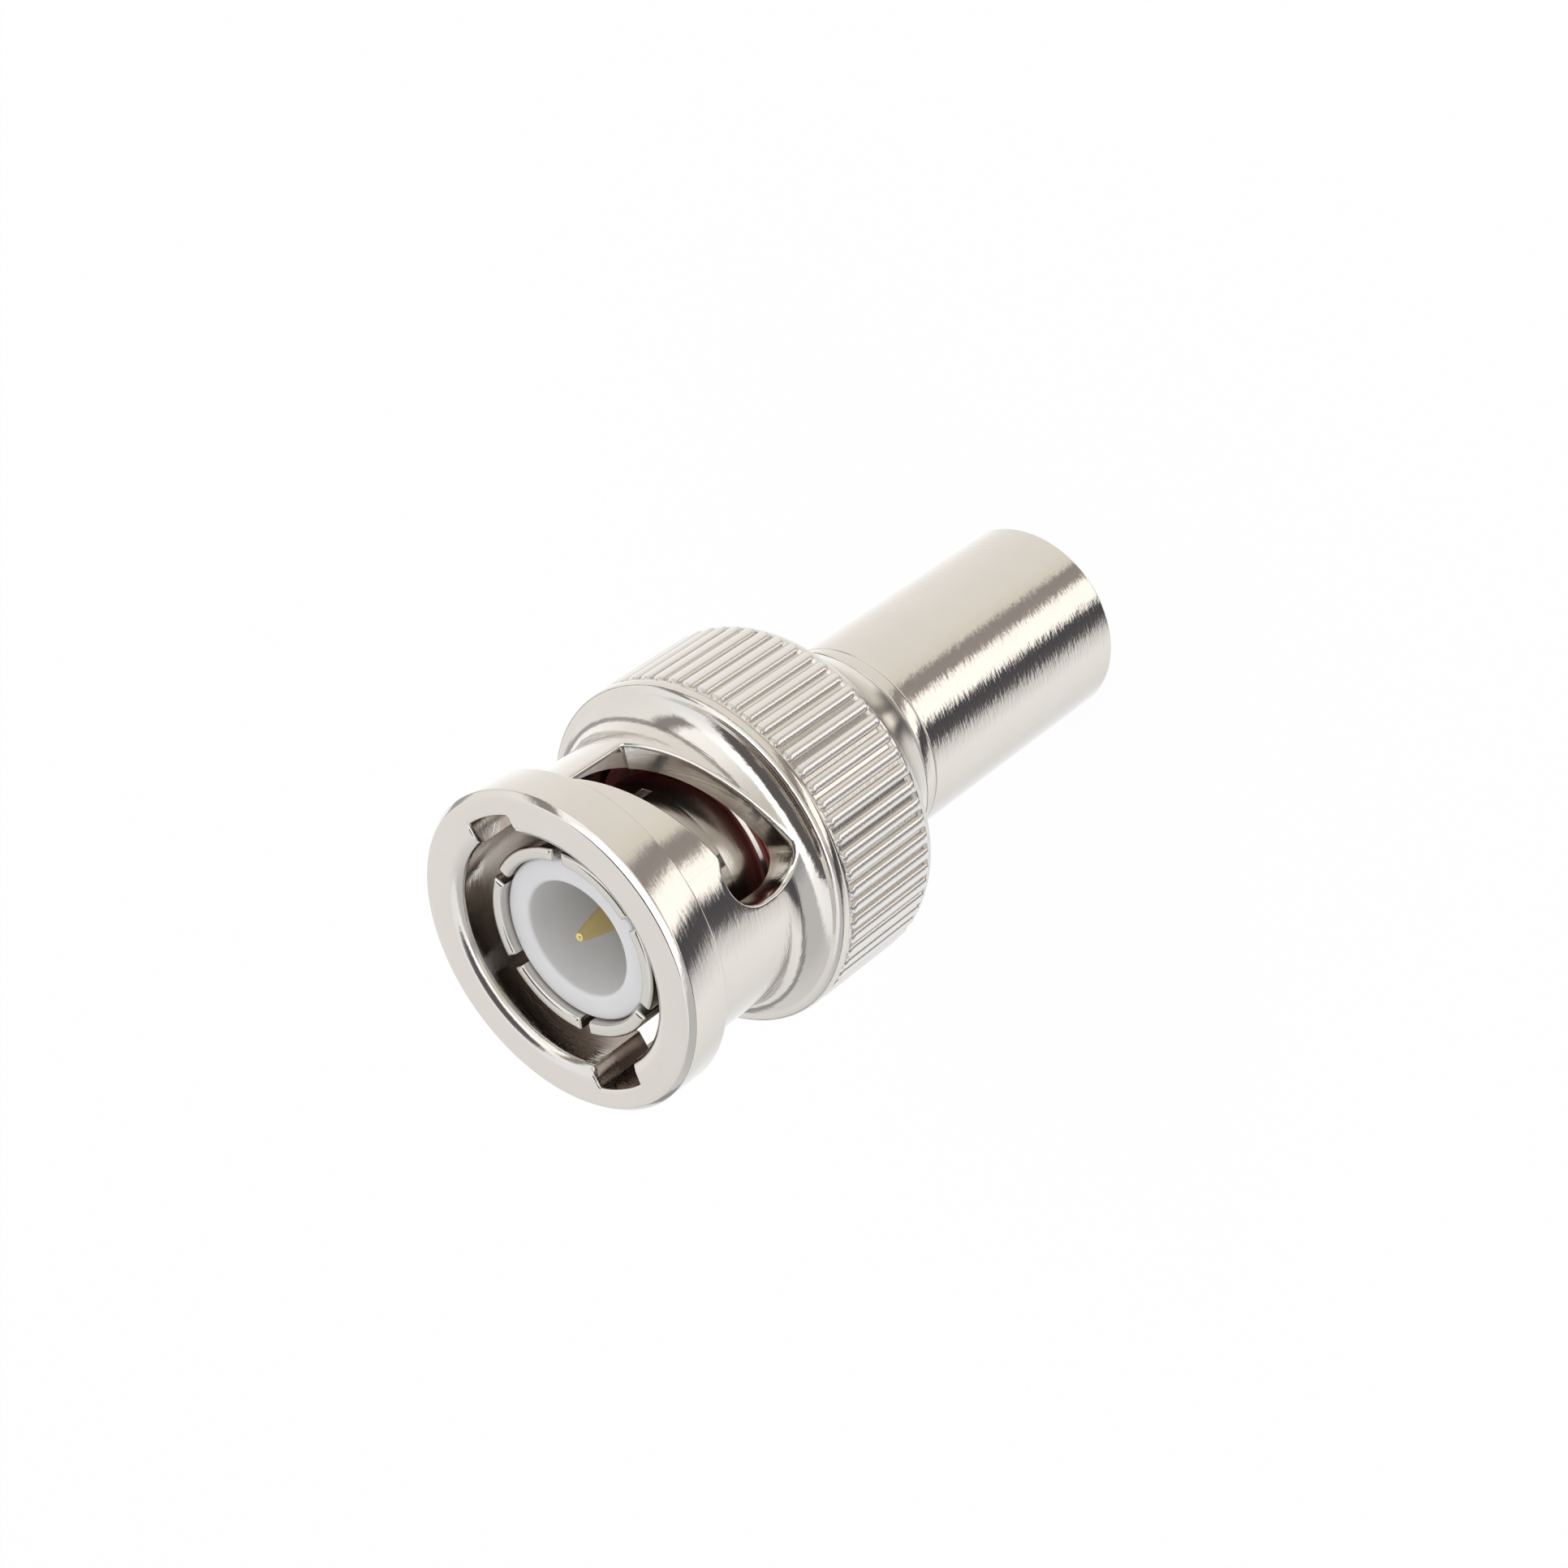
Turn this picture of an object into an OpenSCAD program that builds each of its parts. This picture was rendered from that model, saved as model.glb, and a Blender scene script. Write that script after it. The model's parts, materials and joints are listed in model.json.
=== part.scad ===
// Straight bayonet-lock plug for coaxial cable, crimp pattern.
// The plug stands nose up: z = 0 is the open rear end of the crimp sleeve, +Z runs along
// the cable axis to the mating face. The bayonet entry channels lie on the Y axis.

/* [Crimp sleeve] */
// Length of the crimp sleeve
sleeve_length = 12.45; // [8:0.05:18]
// Outside diameter of the crimp sleeve and of the body collar it butts against
sleeve_d = 8.6; // [8.3:0.05:9]
// Wall thickness of the crimp sleeve
sleeve_wall = 0.5; // [0.3:0.05:0.6]

/* [Rear body] */
// Length of the collar between the sleeve and the coupling nut
collar_length = 0.65; // [0.5:0.05:2]
// Length of the shoulder that stops the coupling nut
shoulder_length = 0.25; // [0.2:0.05:1]
// Diameter of the shoulder that stops the coupling nut
shoulder_d = 8.1; // [7.8:0.05:8.2]
// Diameter of the neck on which the coupling nut turns
neck_d = 7.2; // [7.1:0.05:7.3]
// Length of the plain land that centres the sleeve
land_length = 1.5; // [1:0.1:3]
// Diameter of the serrated stem under the braid
stem_d = 5.8; // [5.6:0.05:6.2]
// Bore of the stem for the cable dielectric
stem_bore_d = 4.8; // [4.4:0.05:4.9]
// How far the stem stays short of the sleeve's rear end
stem_setback = 3.0; // [1:0.1:5]
// Depth of the serrations on the stem
serration_depth = 0.15; // [0.05:0.01:0.2]
// Spacing of the serrations on the stem
serration_pitch = 0.7; // [0.5:0.05:1]
// Taper at the stem's rear end that spreads the braid
stem_taper = 0.4; // [0.2:0.05:0.6]

/* [Coupling nut] */
// Overall length of the coupling nut
nut_length = 16.85; // [16:0.05:17.5]
// Diameter over the knurl
knurl_d = 14.7; // [14.4:0.05:15.2]
// Length of the knurled band
knurl_length = 5.25; // [4.5:0.05:5.4]
// Number of ridges round the knurl
knurl_count = 62; // [48:2:72]
// Depth of the grooves between the ridges
knurl_depth = 0.34; // [0.2:0.01:0.4]
// Width of a groove at the ridge tops
groove_width = 0.36; // [0.3:0.02:0.5]
// Width of a groove at its floor
groove_floor_width = 0.16; // [0.1:0.02:0.2]
// Length over which the ridges round off onto the bell
ridge_run = 0.7; // [0.4:0.05:1]
// Depth of the fine turned line between knurl and bead
line_depth = 0.12; // [0.05:0.01:0.2]
// Width of that line
line_width = 0.14; // [0.1:0.01:0.2]
// Length of the plain bead in front of the knurl
bead_length = 0.65; // [0.5:0.05:1]
// How far the rounded bead falls towards its front edge
bead_drop = 0.3; // [0.1:0.05:0.4]
// Step from the bead's front edge down to the flare
bead_step = 0.15; // [0.1:0.01:0.3]
// Length of the hollow flare from the bead down to the barrel
flare_length = 1.2; // [0.8:0.05:1.5]
// Hollow of the flare below a straight line
flare_hollow = 0.22; // [0:0.01:0.3]
// Diameter of the slotted barrel
barrel_d = 11.9; // [11.8:0.05:12.4]
// Diameter of the ring at the mouth
ring_d = 13.5; // [13:0.05:14]
// Length of the ring at the mouth
ring_length = 1.95; // [1.6:0.05:2.4]
// Bore that takes the barrel of the mating jack
mouth_d = 9.8; // [9.78:0.01:9.9]
// Diameter of the lead-in chamfer at the mouth
lead_in_d = 10.8; // [10.4:0.05:11.2]
// Depth of the lead-in chamfer at the mouth
lead_in_depth = 0.4; // [0.3:0.05:0.8]
// Outside diameter of the nut's rear rim
rear_rim_d = 9.3; // [8.8:0.05:9.6]
// Length of the bell behind the knurl
bell_length = 3.1; // [2.8:0.05:3.3]
// Hollow of the bell below a straight line from rim to knurl
bell_hollow = 0.25; // [0:0.05:0.4]
// Thickness of the inner lip that pulls on the spring
lip_length = 3.7; // [3.2:0.05:3.9]

/* [Bayonet track] */
// Width of the track for the jack's stud
track_width = 2.8; // [2.3:0.05:2.9]
// Width of the entry channel inside the ring
channel_width = 2.45; // [2.2:0.05:2.6]
// Diameter across the floors of the two entry channels
channel_floor_d = 11.5; // [11.2:0.05:11.6]
// Turn from the entry channel to the locking pocket
track_turn = 90; // [80:1:95]
// Turn from the pocket over which the track is cut right through the barrel
track_open_turn = 73; // [60:1:80]
// Axial rise of the track from the locking pocket to the entry channel
track_rise = 2.05; // [1.6:0.05:2.4]
// Distance from the mating face back to the middle of the track at the pocket
pocket_depth = 6.0; // [5.8:0.05:6.2]
// Diameter of the locking pocket
pocket_d = 2.8; // [2.3:0.05:2.9]
// How far the locking pocket steps towards the mouth
pocket_step = 0.5; // [0.2:0.05:0.6]

/* [Outer contact] */
// Outside diameter of the spring fingers
contact_d = 8.05; // [7.95:0.01:8.15]
// Wall of the spring fingers
contact_wall = 0.55; // [0.4:0.05:0.6]
// Distance from the mating face back to the finger tips
contact_setback = 0.85; // [0.4:0.05:1.2]
// Number of saw cuts taken right across the contact, two slits each
slit_cuts = 3; // [2:1:4]
// Width of a slit
slit_width = 0.45; // [0.3:0.05:0.6]
// Length of a slit
slit_length = 5.9; // [5:0.1:6.2]
// Turn of the first slit from the X axis
slit_turn = 5; // [0:1:60]
// Diameter of the root between the gasket and the fingers
root_d = 8.3; // [8.2:0.02:8.4]
// Length of the root in front of the gasket
root_length = 0.9; // [0.4:0.05:1]
// Thickness of the flange that carries the gasket
flange_length = 1.6; // [1.2:0.1:2]
// Diameter of the pressed tail
tail_d = 6.2; // [6.1:0.02:6.3]
// Length of the pressed tail
tail_length = 3.2; // [2.8:0.1:3.4]

/* [Insulators and pin] */
// Bore at the front of the insulator, which takes the jack's insulator
socket_d = 4.84; // [4.83:0.01:5]
// Depth of that bore
socket_depth = 5.2; // [4.8:0.1:5.6]
// Distance from the mating face back to the front insulator
insulator_setback = 1.2; // [1.1:0.05:1.6]
// Length of the front insulator's narrow tail
insulator_tail_length = 3; // [2:0.1:3.2]
// Diameter of the insulators inside the tail
insulator_tail_d = 5.2; // [5:0.02:5.3]
// Length of the rear insulator
rear_insulator_length = 4.0; // [3.5:0.1:4.2]
// Diameter of the centre pin where it mates
pin_d = 1.35; // [1.32:0.01:1.37]
// Length of the taper at the pin's tip
pin_taper = 2.5; // [1.2:0.1:3]
// Diameter of the rounded end of the pin
pin_end_d = 0.4; // [0.3:0.05:0.7]
// Distance from the mating face back to the pin's tip
pin_setback = 1.3; // [1.2:0.05:2]
// Diameter of the pin's crimp barrel
pin_barrel_d = 1.9; // [1.7:0.05:2.1]
// Bore of the pin's crimp barrel
pin_bore_d = 1.1; // [0.9:0.05:1.2]
// Depth of the pin's crimp barrel bore
pin_bore_depth = 3.2; // [2.5:0.1:3.5]
// How far the pin's rear end lies inside the rear insulator
pin_recess = 0.2; // [0.1:0.05:0.5]
// Diameter of the flange that holds the pin between the insulators
pin_flange_d = 2.7; // [2.4:0.05:3]
// Thickness of that flange
pin_flange_length = 0.6; // [0.4:0.05:0.8]

/* [Gasket, washers and spring] */
// Distance from the mating face back to the gasket
gasket_setback = 7.85; // [7.6:0.05:8]
// Thickness of the gasket
gasket_length = 1.55; // [1.3:0.05:1.6]
// Thickness of each flat washer
washer_length = 0.3; // [0.2:0.05:0.4]
// Sheet thickness of the wave washer
wave_sheet = 0.25; // [0.2:0.01:0.3]
// Number of waves round the wave washer
wave_count = 3; // [2:1:4]

/* [Fits] */
// Axial float of the coupling nut at rest
nut_float = 0.05; // [0.02:0.01:0.1]
// Radial clearance of parts that turn or slide
running_gap = 0.08; // [0.05:0.01:0.09]
// Radial clearance of parts assembled together
seat_gap = 0.03; // [0.02:0.01:0.05]
// Depth of the shelf under the collar that stops the rear insulator
shelf_depth = 0.2; // [0.1:0.05:0.4]
// Small break on turned edges
edge_break = 0.1; // [0.05:0.01:0.12]

/* [Hidden] */
$fn = 96;
cut = 0.5; // overrun of a cutting tool past the face it opens
track_steps = 26; // stations along the open part of the track
blind_steps = 8; // stations along its blind part
end_slant = 0.6; // turn in which the track's depth changes
floor_step = 0.05; // height of the blind track's floor over the channels' floors

// stations along the axis, from the rear end to the mating face
collar_z = sleeve_length;
shoulder_z = collar_z + collar_length;
neck_z = shoulder_z + shoulder_length;
nut_z = neck_z + nut_float;
lip_z = nut_z + lip_length;
face_z = nut_z + nut_length;
ring_z = face_z - ring_length;
knurl_z = nut_z + bell_length;
bead_z = knurl_z + knurl_length;
flare_z = bead_z + bead_length;
pocket_z = face_z - pocket_depth;
tip_z = face_z - contact_setback;
insulator_z = face_z - insulator_setback;
socket_z = insulator_z - socket_depth;
pin_tip_z = face_z - pin_setback;
gasket_front_z = face_z - gasket_setback;
flange_front_z = gasket_front_z - gasket_length;
flange_z = flange_front_z - flange_length;
tail_z = flange_z - tail_length;
shelf_z = shoulder_z - shelf_depth;
pin_flange_z = shelf_z + rear_insulator_length;
front_insulator_z = pin_flange_z + pin_flange_length;
insulator_step_z = front_insulator_z + insulator_tail_length;
thrust_z = lip_z;
wave_z = thrust_z + washer_length;
flange_washer_z = flange_z - washer_length;

// radii
sleeve_r = sleeve_d / 2;
sleeve_bore_r = sleeve_r - sleeve_wall;
neck_r = neck_d / 2;
mouth_r = mouth_d / 2;
lip_r = neck_r + running_gap;
knurl_r = knurl_d / 2;
barrel_r = barrel_d / 2;
ring_r = ring_d / 2;
contact_r = contact_d / 2;
contact_bore_r = contact_r - contact_wall;
root_r = root_d / 2;
tail_r = tail_d / 2;
tail_bore_r = insulator_tail_d / 2 + seat_gap;
flange_r = mouth_r - running_gap;
pin_r = pin_d / 2;
barrel_pin_r = pin_barrel_d / 2;

// points of a shallow arc from one point to another, bowed to the left by sag
function bow(p, q, sag, n = 10) =
    let (d = q - p, side = [-d[1], d[0]] / norm(d))
    [for (i = [0 : n]) let (t = i / n) p + t * d + 4 * sag * t * (1 - t) * side];

// solid of revolution about the cable axis, from [radius, z] points
module turned(points) {
    rotate_extrude() polygon(points);
}

// ring with a plain section
module ring(inner_r, outer_r, low, high) {
    turned([[inner_r, low], [outer_r, low], [outer_r, high], [inner_r, high]]);
}

/* Coupling nut: bell, knurl, bead, flare, slotted barrel and mouth ring in one turning. */
module nut_blank() {
    rim_r = rear_rim_d / 2;
    bell_r = knurl_r - knurl_depth;
    flare_r = knurl_r - bead_drop - bead_step;
    turned(concat(
        [[lip_r, nut_z], [rim_r - edge_break, nut_z]],
        bow([rim_r, nut_z + edge_break], [bell_r, knurl_z], bell_hollow),
        [for (p = bow([bell_r, knurl_z], [knurl_r, knurl_z + ridge_run], -line_depth / 2, 5))
         if (p[1] > knurl_z) p],
        [[knurl_r, bead_z], [knurl_r - line_depth, bead_z + line_width / 2]],
        bow([knurl_r, bead_z + line_width], [knurl_r - bead_drop, flare_z], -line_depth / 2, 5),
        bow([flare_r, flare_z], [barrel_r, flare_z + flare_length], flare_hollow),
        [[barrel_r, ring_z], [ring_r - edge_break, ring_z], [ring_r, ring_z + edge_break],
         [ring_r, face_z - 2 * edge_break], [ring_r - 2 * edge_break, face_z],
         [lead_in_d / 2, face_z], [mouth_r, face_z - lead_in_depth], [mouth_r, lip_z], [lip_r, lip_z]]));
}

// grooves of the straight knurl, which run out on the bell behind it
module knurl_grooves() {
    floor_r = knurl_r - knurl_depth;
    half_top = groove_width / 2;
    half_floor = groove_floor_width / 2;
    translate([0, 0, knurl_z - cut]) linear_extrude(knurl_length + cut - line_width / 2)
        for (i = [0 : knurl_count - 1]) rotate(i * 360 / knurl_count)
            polygon([[floor_r, -half_floor], [knurl_r, -half_top], [knurl_r + cut, -half_top],
                     [knurl_r + cut, half_top], [knurl_r, half_top], [floor_r, half_floor]]);
}

// middle of the track at a turn from the pocket, climbing evenly to the channel
function track_z(turn) = pocket_z + track_rise * max(turn, 0) / track_turn;
// arc length at the barrel's skin for a turn in degrees
function skin(turn) = turn * PI / 180 * barrel_r;
// reach of a round end of radius r at a distance x from its centre
function round_end(x, r) = sqrt(max(r * r - x * x, 0));
// rear and front edges of the track
function track_low(turn) = track_z(turn) - round_end(min(skin(turn), 0), track_width / 2);
function track_high(turn) = min(ring_z, max(
    track_z(turn) + round_end(min(skin(turn), 0), track_width / 2),
    pocket_z + pocket_step + round_end(skin(turn), pocket_d / 2)));

// tool for one track: stations round the nut, each a radial rectangle; it goes through the
// wall from the pocket to the open turn, and from there it's as deep as the entry channels
module track_cutter() {
    end_turn = -track_width / 2 / barrel_r * 180 / PI;
    channel_half = asin(channel_width / channel_floor_d);
    last_turn = track_turn + channel_half;
    blind_start = track_open_turn + end_slant;
    turns = concat([for (i = [1 : 8]) end_turn * cos(i * 90 / 8)],
                   [for (i = [1 : track_steps]) i * track_open_turn / track_steps],
                   [for (i = [0 : blind_steps])
                    blind_start + i * (last_turn - blind_start) / blind_steps]);
    n = len(turns);
    inner = mouth_r - cut;
    points = [for (t = turns) let (outer = t > track_open_turn ? channel_floor_d / 2 - floor_step : ring_r + cut)
              for (p = [[inner, track_low(t)], [outer, track_low(t)],
                        [outer, track_high(t)], [inner, track_high(t)]])
              [p[0] * cos(t), p[0] * sin(t), p[1]]];
    sides = [for (i = [0 : n - 2], j = [0 : 3]) let (k = (j + 1) % 4, a = 4 * i, b = 4 * i + 4)
             each [[a + j, a + k, b + k], [a + j, b + k, b + j]]];
    polyhedron(points, concat([[3, 2, 1], [3, 1, 0]], sides,
                              [[4 * n - 4, 4 * n - 3, 4 * n - 2], [4 * n - 4, 4 * n - 2, 4 * n - 1]]));
}

// both entry channels, open at the mouth and blind in the ring
module entry_channels() {
    low = track_z(track_turn);
    high = face_z + cut;
    intersection() {
        translate([0, 0, low]) cylinder(d = channel_floor_d, h = high - low);
        translate([-channel_width / 2, -ring_r, low]) cube([channel_width, 2 * ring_r, high - low]);
    }
}

module coupling_nut() {
    color([0.80, 0.78, 0.74]) difference() {
        nut_blank();
        knurl_grooves();
        for (side = [0, 180]) rotate(90 - track_turn + side) track_cutter();
        entry_channels();
    }
}

/* Crimp sleeve: a plain tube over the stem, butted against the collar. */
module crimp_sleeve() {
    color([0.78, 0.76, 0.73]) turned([
        [sleeve_bore_r + edge_break, 0], [sleeve_r - edge_break, 0], [sleeve_r, edge_break],
        [sleeve_r, collar_z - edge_break], [sleeve_r - edge_break, collar_z],
        [sleeve_bore_r, collar_z], [sleeve_bore_r, edge_break]]);
}

/* Rear body: serrated stem, land, collar, shoulder and the neck that carries the nut. */
module rear_body() {
    stem_r = stem_d / 2;
    land_z = collar_z - land_length;
    teeth = floor((land_z - stem_setback - 2 * stem_taper) / serration_pitch);
    tooth = [[stem_r - serration_depth, 0], [stem_r, serration_pitch - serration_depth]];
    color([0.79, 0.77, 0.74]) turned(concat(
        [[stem_bore_d / 2, stem_setback], [(stem_r + stem_bore_d / 2) / 2, stem_setback]],
        [for (i = [0 : teeth - 1], p = tooth)
         [p[0], stem_setback + stem_taper + i * serration_pitch + p[1]]],
        [[stem_r - serration_depth, land_z], [sleeve_bore_r - seat_gap, land_z],
         [sleeve_bore_r - seat_gap, collar_z], [sleeve_r - edge_break, collar_z],
         [sleeve_r, collar_z + edge_break], [sleeve_r, shoulder_z - edge_break],
         [sleeve_r - edge_break, shoulder_z], [shoulder_d / 2, shoulder_z],
         [shoulder_d / 2, neck_z], [neck_r, neck_z], [neck_r, flange_z],
         [tail_r + seat_gap, flange_z], [tail_r + seat_gap, tail_z], [tail_bore_r, tail_z],
         [tail_bore_r, shelf_z], [stem_bore_d / 2, shelf_z]]));
}

/* Outer contact: slit spring fingers, gasket flange and the tail pressed into the neck. */
module outer_contact() {
    color([0.80, 0.79, 0.76]) difference() {
        turned([[tail_bore_r, tail_z], [tail_r, tail_z], [tail_r, flange_z], [flange_r, flange_z],
                [flange_r, flange_front_z], [root_r, flange_front_z],
                [root_r, gasket_front_z + root_length - (root_r - contact_r)],
                [contact_r, gasket_front_z + root_length], [contact_r, tip_z - edge_break],
                [contact_r - edge_break, tip_z], [contact_bore_r, tip_z],
                [contact_bore_r, insulator_step_z], [tail_bore_r, insulator_step_z]]);
        for (i = [0 : slit_cuts - 1]) rotate(slit_turn + i * 180 / slit_cuts)
            translate([-contact_r - cut, -slit_width / 2, tip_z - slit_length])
                cube([contact_d + 2 * cut, slit_width, slit_length + cut]);
    }
}

/* Front insulator: socket for the jack's insulator, web and tail round the pin. */
module front_insulator() {
    body_r = contact_bore_r - seat_gap;
    pin_hole_r = pin_r + seat_gap;
    color([0.90, 0.90, 0.91]) turned([
        [pin_hole_r, front_insulator_z], [insulator_tail_d / 2, front_insulator_z],
        [insulator_tail_d / 2, insulator_step_z], [body_r, insulator_step_z],
        [body_r, insulator_z - edge_break],
        [body_r - edge_break, insulator_z], [socket_d / 2 + edge_break, insulator_z],
        [socket_d / 2, insulator_z - edge_break], [socket_d / 2, socket_z], [pin_hole_r, socket_z]]);
}

module rear_insulator() {
    color([0.90, 0.90, 0.91])
        ring(barrel_pin_r + seat_gap, insulator_tail_d / 2, shelf_z, pin_flange_z);
}

/* Centre pin: crimp barrel, locating flange and the tapered mating end. */
module centre_pin() {
    rear_z = shelf_z + pin_recess;
    color([0.80, 0.68, 0.36]) turned(concat(
        [[pin_bore_d / 2, rear_z], [barrel_pin_r, rear_z], [barrel_pin_r, pin_flange_z],
         [pin_flange_d / 2, pin_flange_z], [pin_flange_d / 2, front_insulator_z],
         [pin_r, front_insulator_z], [pin_r, pin_tip_z - pin_taper]],
        bow([pin_r, pin_tip_z - pin_taper + edge_break], [pin_end_d / 2, pin_tip_z - edge_break],
            -edge_break / 2, 6),
        [[pin_end_d / 4, pin_tip_z], [0, pin_tip_z], [0, rear_z + pin_bore_depth],
         [pin_bore_d / 2, rear_z + pin_bore_depth - pin_bore_d / 4]]));
}

module gasket() {
    color([0.42, 0.13, 0.13])
        ring(root_r + seat_gap, flange_r - seat_gap, flange_front_z, gasket_front_z);
}

module flange_washer() {
    color([0.75, 0.75, 0.74]) ring(lip_r, flange_r - seat_gap, flange_washer_z, flange_z);
}

module thrust_washer() {
    color([0.75, 0.75, 0.74]) ring(lip_r, flange_r - seat_gap, thrust_z, wave_z);
}

/* Wave washer: a ring of sheet whose height follows a sine round the axis. */
module wave_washer() {
    n = 72;
    inner = lip_r + running_gap;
    outer = flange_r - 2 * running_gap;
    middle = (wave_z + flange_washer_z) / 2;
    swing = (flange_washer_z - wave_z - wave_sheet) / 2;
    points = [for (i = [0 : n - 1], c = [[inner, -1], [outer, -1], [outer, 1], [inner, 1]])
              let (t = i * 360 / n)
              [c[0] * cos(t), c[0] * sin(t), middle + swing * sin(wave_count * t) + c[1] * wave_sheet / 2]];
    faces = [for (i = [0 : n - 1], j = [0 : 3])
             let (k = (j + 1) % 4, a = 4 * i, b = 4 * ((i + 1) % n))
             each [[a + j, a + k, b + k], [a + j, b + k, b + j]]];
    color([0.72, 0.72, 0.70]) polyhedron(points, faces);
}

coupling_nut();
crimp_sleeve();
rear_body();
outer_contact();
front_insulator();
rear_insulator();
centre_pin();
gasket();
flange_washer();
wave_washer();
thrust_washer();
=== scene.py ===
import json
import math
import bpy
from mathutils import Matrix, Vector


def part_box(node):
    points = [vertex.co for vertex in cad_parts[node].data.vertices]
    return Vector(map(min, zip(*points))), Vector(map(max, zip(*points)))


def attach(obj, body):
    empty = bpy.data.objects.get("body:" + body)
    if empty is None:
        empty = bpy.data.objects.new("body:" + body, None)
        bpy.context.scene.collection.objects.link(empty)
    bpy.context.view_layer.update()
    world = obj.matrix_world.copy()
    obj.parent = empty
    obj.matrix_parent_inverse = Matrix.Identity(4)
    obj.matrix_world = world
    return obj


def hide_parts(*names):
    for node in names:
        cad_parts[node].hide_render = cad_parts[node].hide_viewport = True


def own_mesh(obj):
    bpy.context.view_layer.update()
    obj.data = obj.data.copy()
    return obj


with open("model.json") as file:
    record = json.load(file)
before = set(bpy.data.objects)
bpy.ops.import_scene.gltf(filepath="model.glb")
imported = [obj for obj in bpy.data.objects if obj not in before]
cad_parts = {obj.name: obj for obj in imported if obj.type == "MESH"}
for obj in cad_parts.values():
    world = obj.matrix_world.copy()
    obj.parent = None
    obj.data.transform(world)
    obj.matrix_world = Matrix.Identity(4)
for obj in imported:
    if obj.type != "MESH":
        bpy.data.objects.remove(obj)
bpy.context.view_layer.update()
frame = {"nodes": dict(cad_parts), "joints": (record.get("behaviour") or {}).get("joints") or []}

# Looks of a straight bayonet-lock coaxial plug, laid out as an add-on. Lengths inside the shape
# functions are millimetres; Shell.finish turns them into metres in the frame's axes.
from types import SimpleNamespace

import bmesh
import bpy
import numpy as np
from bpy.props import FloatProperty, FloatVectorProperty, IntProperty, PointerProperty
from mathutils import Matrix, Vector

bl_info = {
    "name": "Bayonet Cable Plug",
    "version": (1, 0, 0),
    "blender": (4, 5, 0),
    "location": "View3D > Sidebar > Plug",
    "description": "Builds the finished surfaces and materials of a crimp-on bayonet-lock plug",
    "category": "Object",
}

MM = 0.001


def low(node):
    """Lower corner of a CAD node's box, in metres."""
    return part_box(node)[0]


def high(node):
    """Upper corner of a CAD node's box, in metres."""
    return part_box(node)[1]


def length(name, text, default):
    """A length property in metres; the default is given in millimetres."""
    return FloatProperty(name=name, description=text, default=default * MM, min=0.0,
                         unit="LENGTH", precision=5)


def tint(name, text, default):
    """A colour property with linear components."""
    return FloatVectorProperty(name=name, description=text, default=default, size=3,
                               min=0.0, max=1.0, subtype="COLOR")


# ---------------------------------------------------------------- properties

class PlugSizes(bpy.types.PropertyGroup):
    """Sizes of the plug's turned surfaces and of those cut by a mill."""
    sleeve_end: length("Sleeve end", "Height of the seam between crimp sleeve and collar",
                       high("crimp_sleeve").z / MM)
    sleeve_radius: length("Sleeve radius", "Outside radius of the crimp sleeve",
                          high("crimp_sleeve").x / MM)
    sleeve_wall: length("Sleeve wall", "Wall of the crimp sleeve", 0.5)
    collar_end: length("Collar end", "Height of the collar's front face", 13.10)
    neck_radius: length("Neck radius", "Radius of the neck that carries the nut", 3.6)
    nut_start: length("Nut rear face", "Height of the nut's rear rim",
                      low("coupling_nut").z / MM)
    face: length("Mating face", "Height of the nut's mouth", high("coupling_nut").z / MM)
    knurl_radius: length("Knurl radius", "Radius over the ridges",
                         high("coupling_nut").x / MM)
    knurl_depth: length("Knurl depth", "Depth between the ridges", 0.20)
    ridges: IntProperty(name="Ridges", description="Number of ridges round the knurl",
                        default=62, min=12, max=120)
    ring_radius: length("Ring radius", "Radius of the ring at the mouth", 6.75)
    ring_length: length("Ring length", "Length of the ring at the mouth", 1.95)
    barrel_radius: length("Barrel radius", "Radius of the slotted barrel", 5.95)
    mouth_radius: length("Mouth radius", "Radius of the bore at the mouth", 4.9)
    track_width: length("Track width", "Width of the helical slot", 2.8)
    track_rise: length("Track rise", "Climb of the slot towards the entry channel", 2.05)
    pocket_depth: length("Pocket depth", "Distance from the mouth to the locking pocket", 6.0)
    channel_width: length("Channel width", "Width of the entry channels", 2.45)
    channel_floor: length("Channel floor", "Radius of the entry channels' floors", 5.75)
    slot_edge: length("Slot edge", "Rounding along the slot's outer rim", 0.14)
    contact_radius: length("Contact radius", "Outside radius of the spring fingers", 4.025)
    contact_wall: length("Contact wall", "Wall of the spring fingers", 0.55)
    slit_width: length("Slit width", "Width of the slits between the fingers", 0.45)
    socket_radius: length("Socket radius", "Radius of the insulator's front bore", 2.42)
    pin_radius: length("Pin radius", "Radius of the centre pin where it mates", 0.675)


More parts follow.
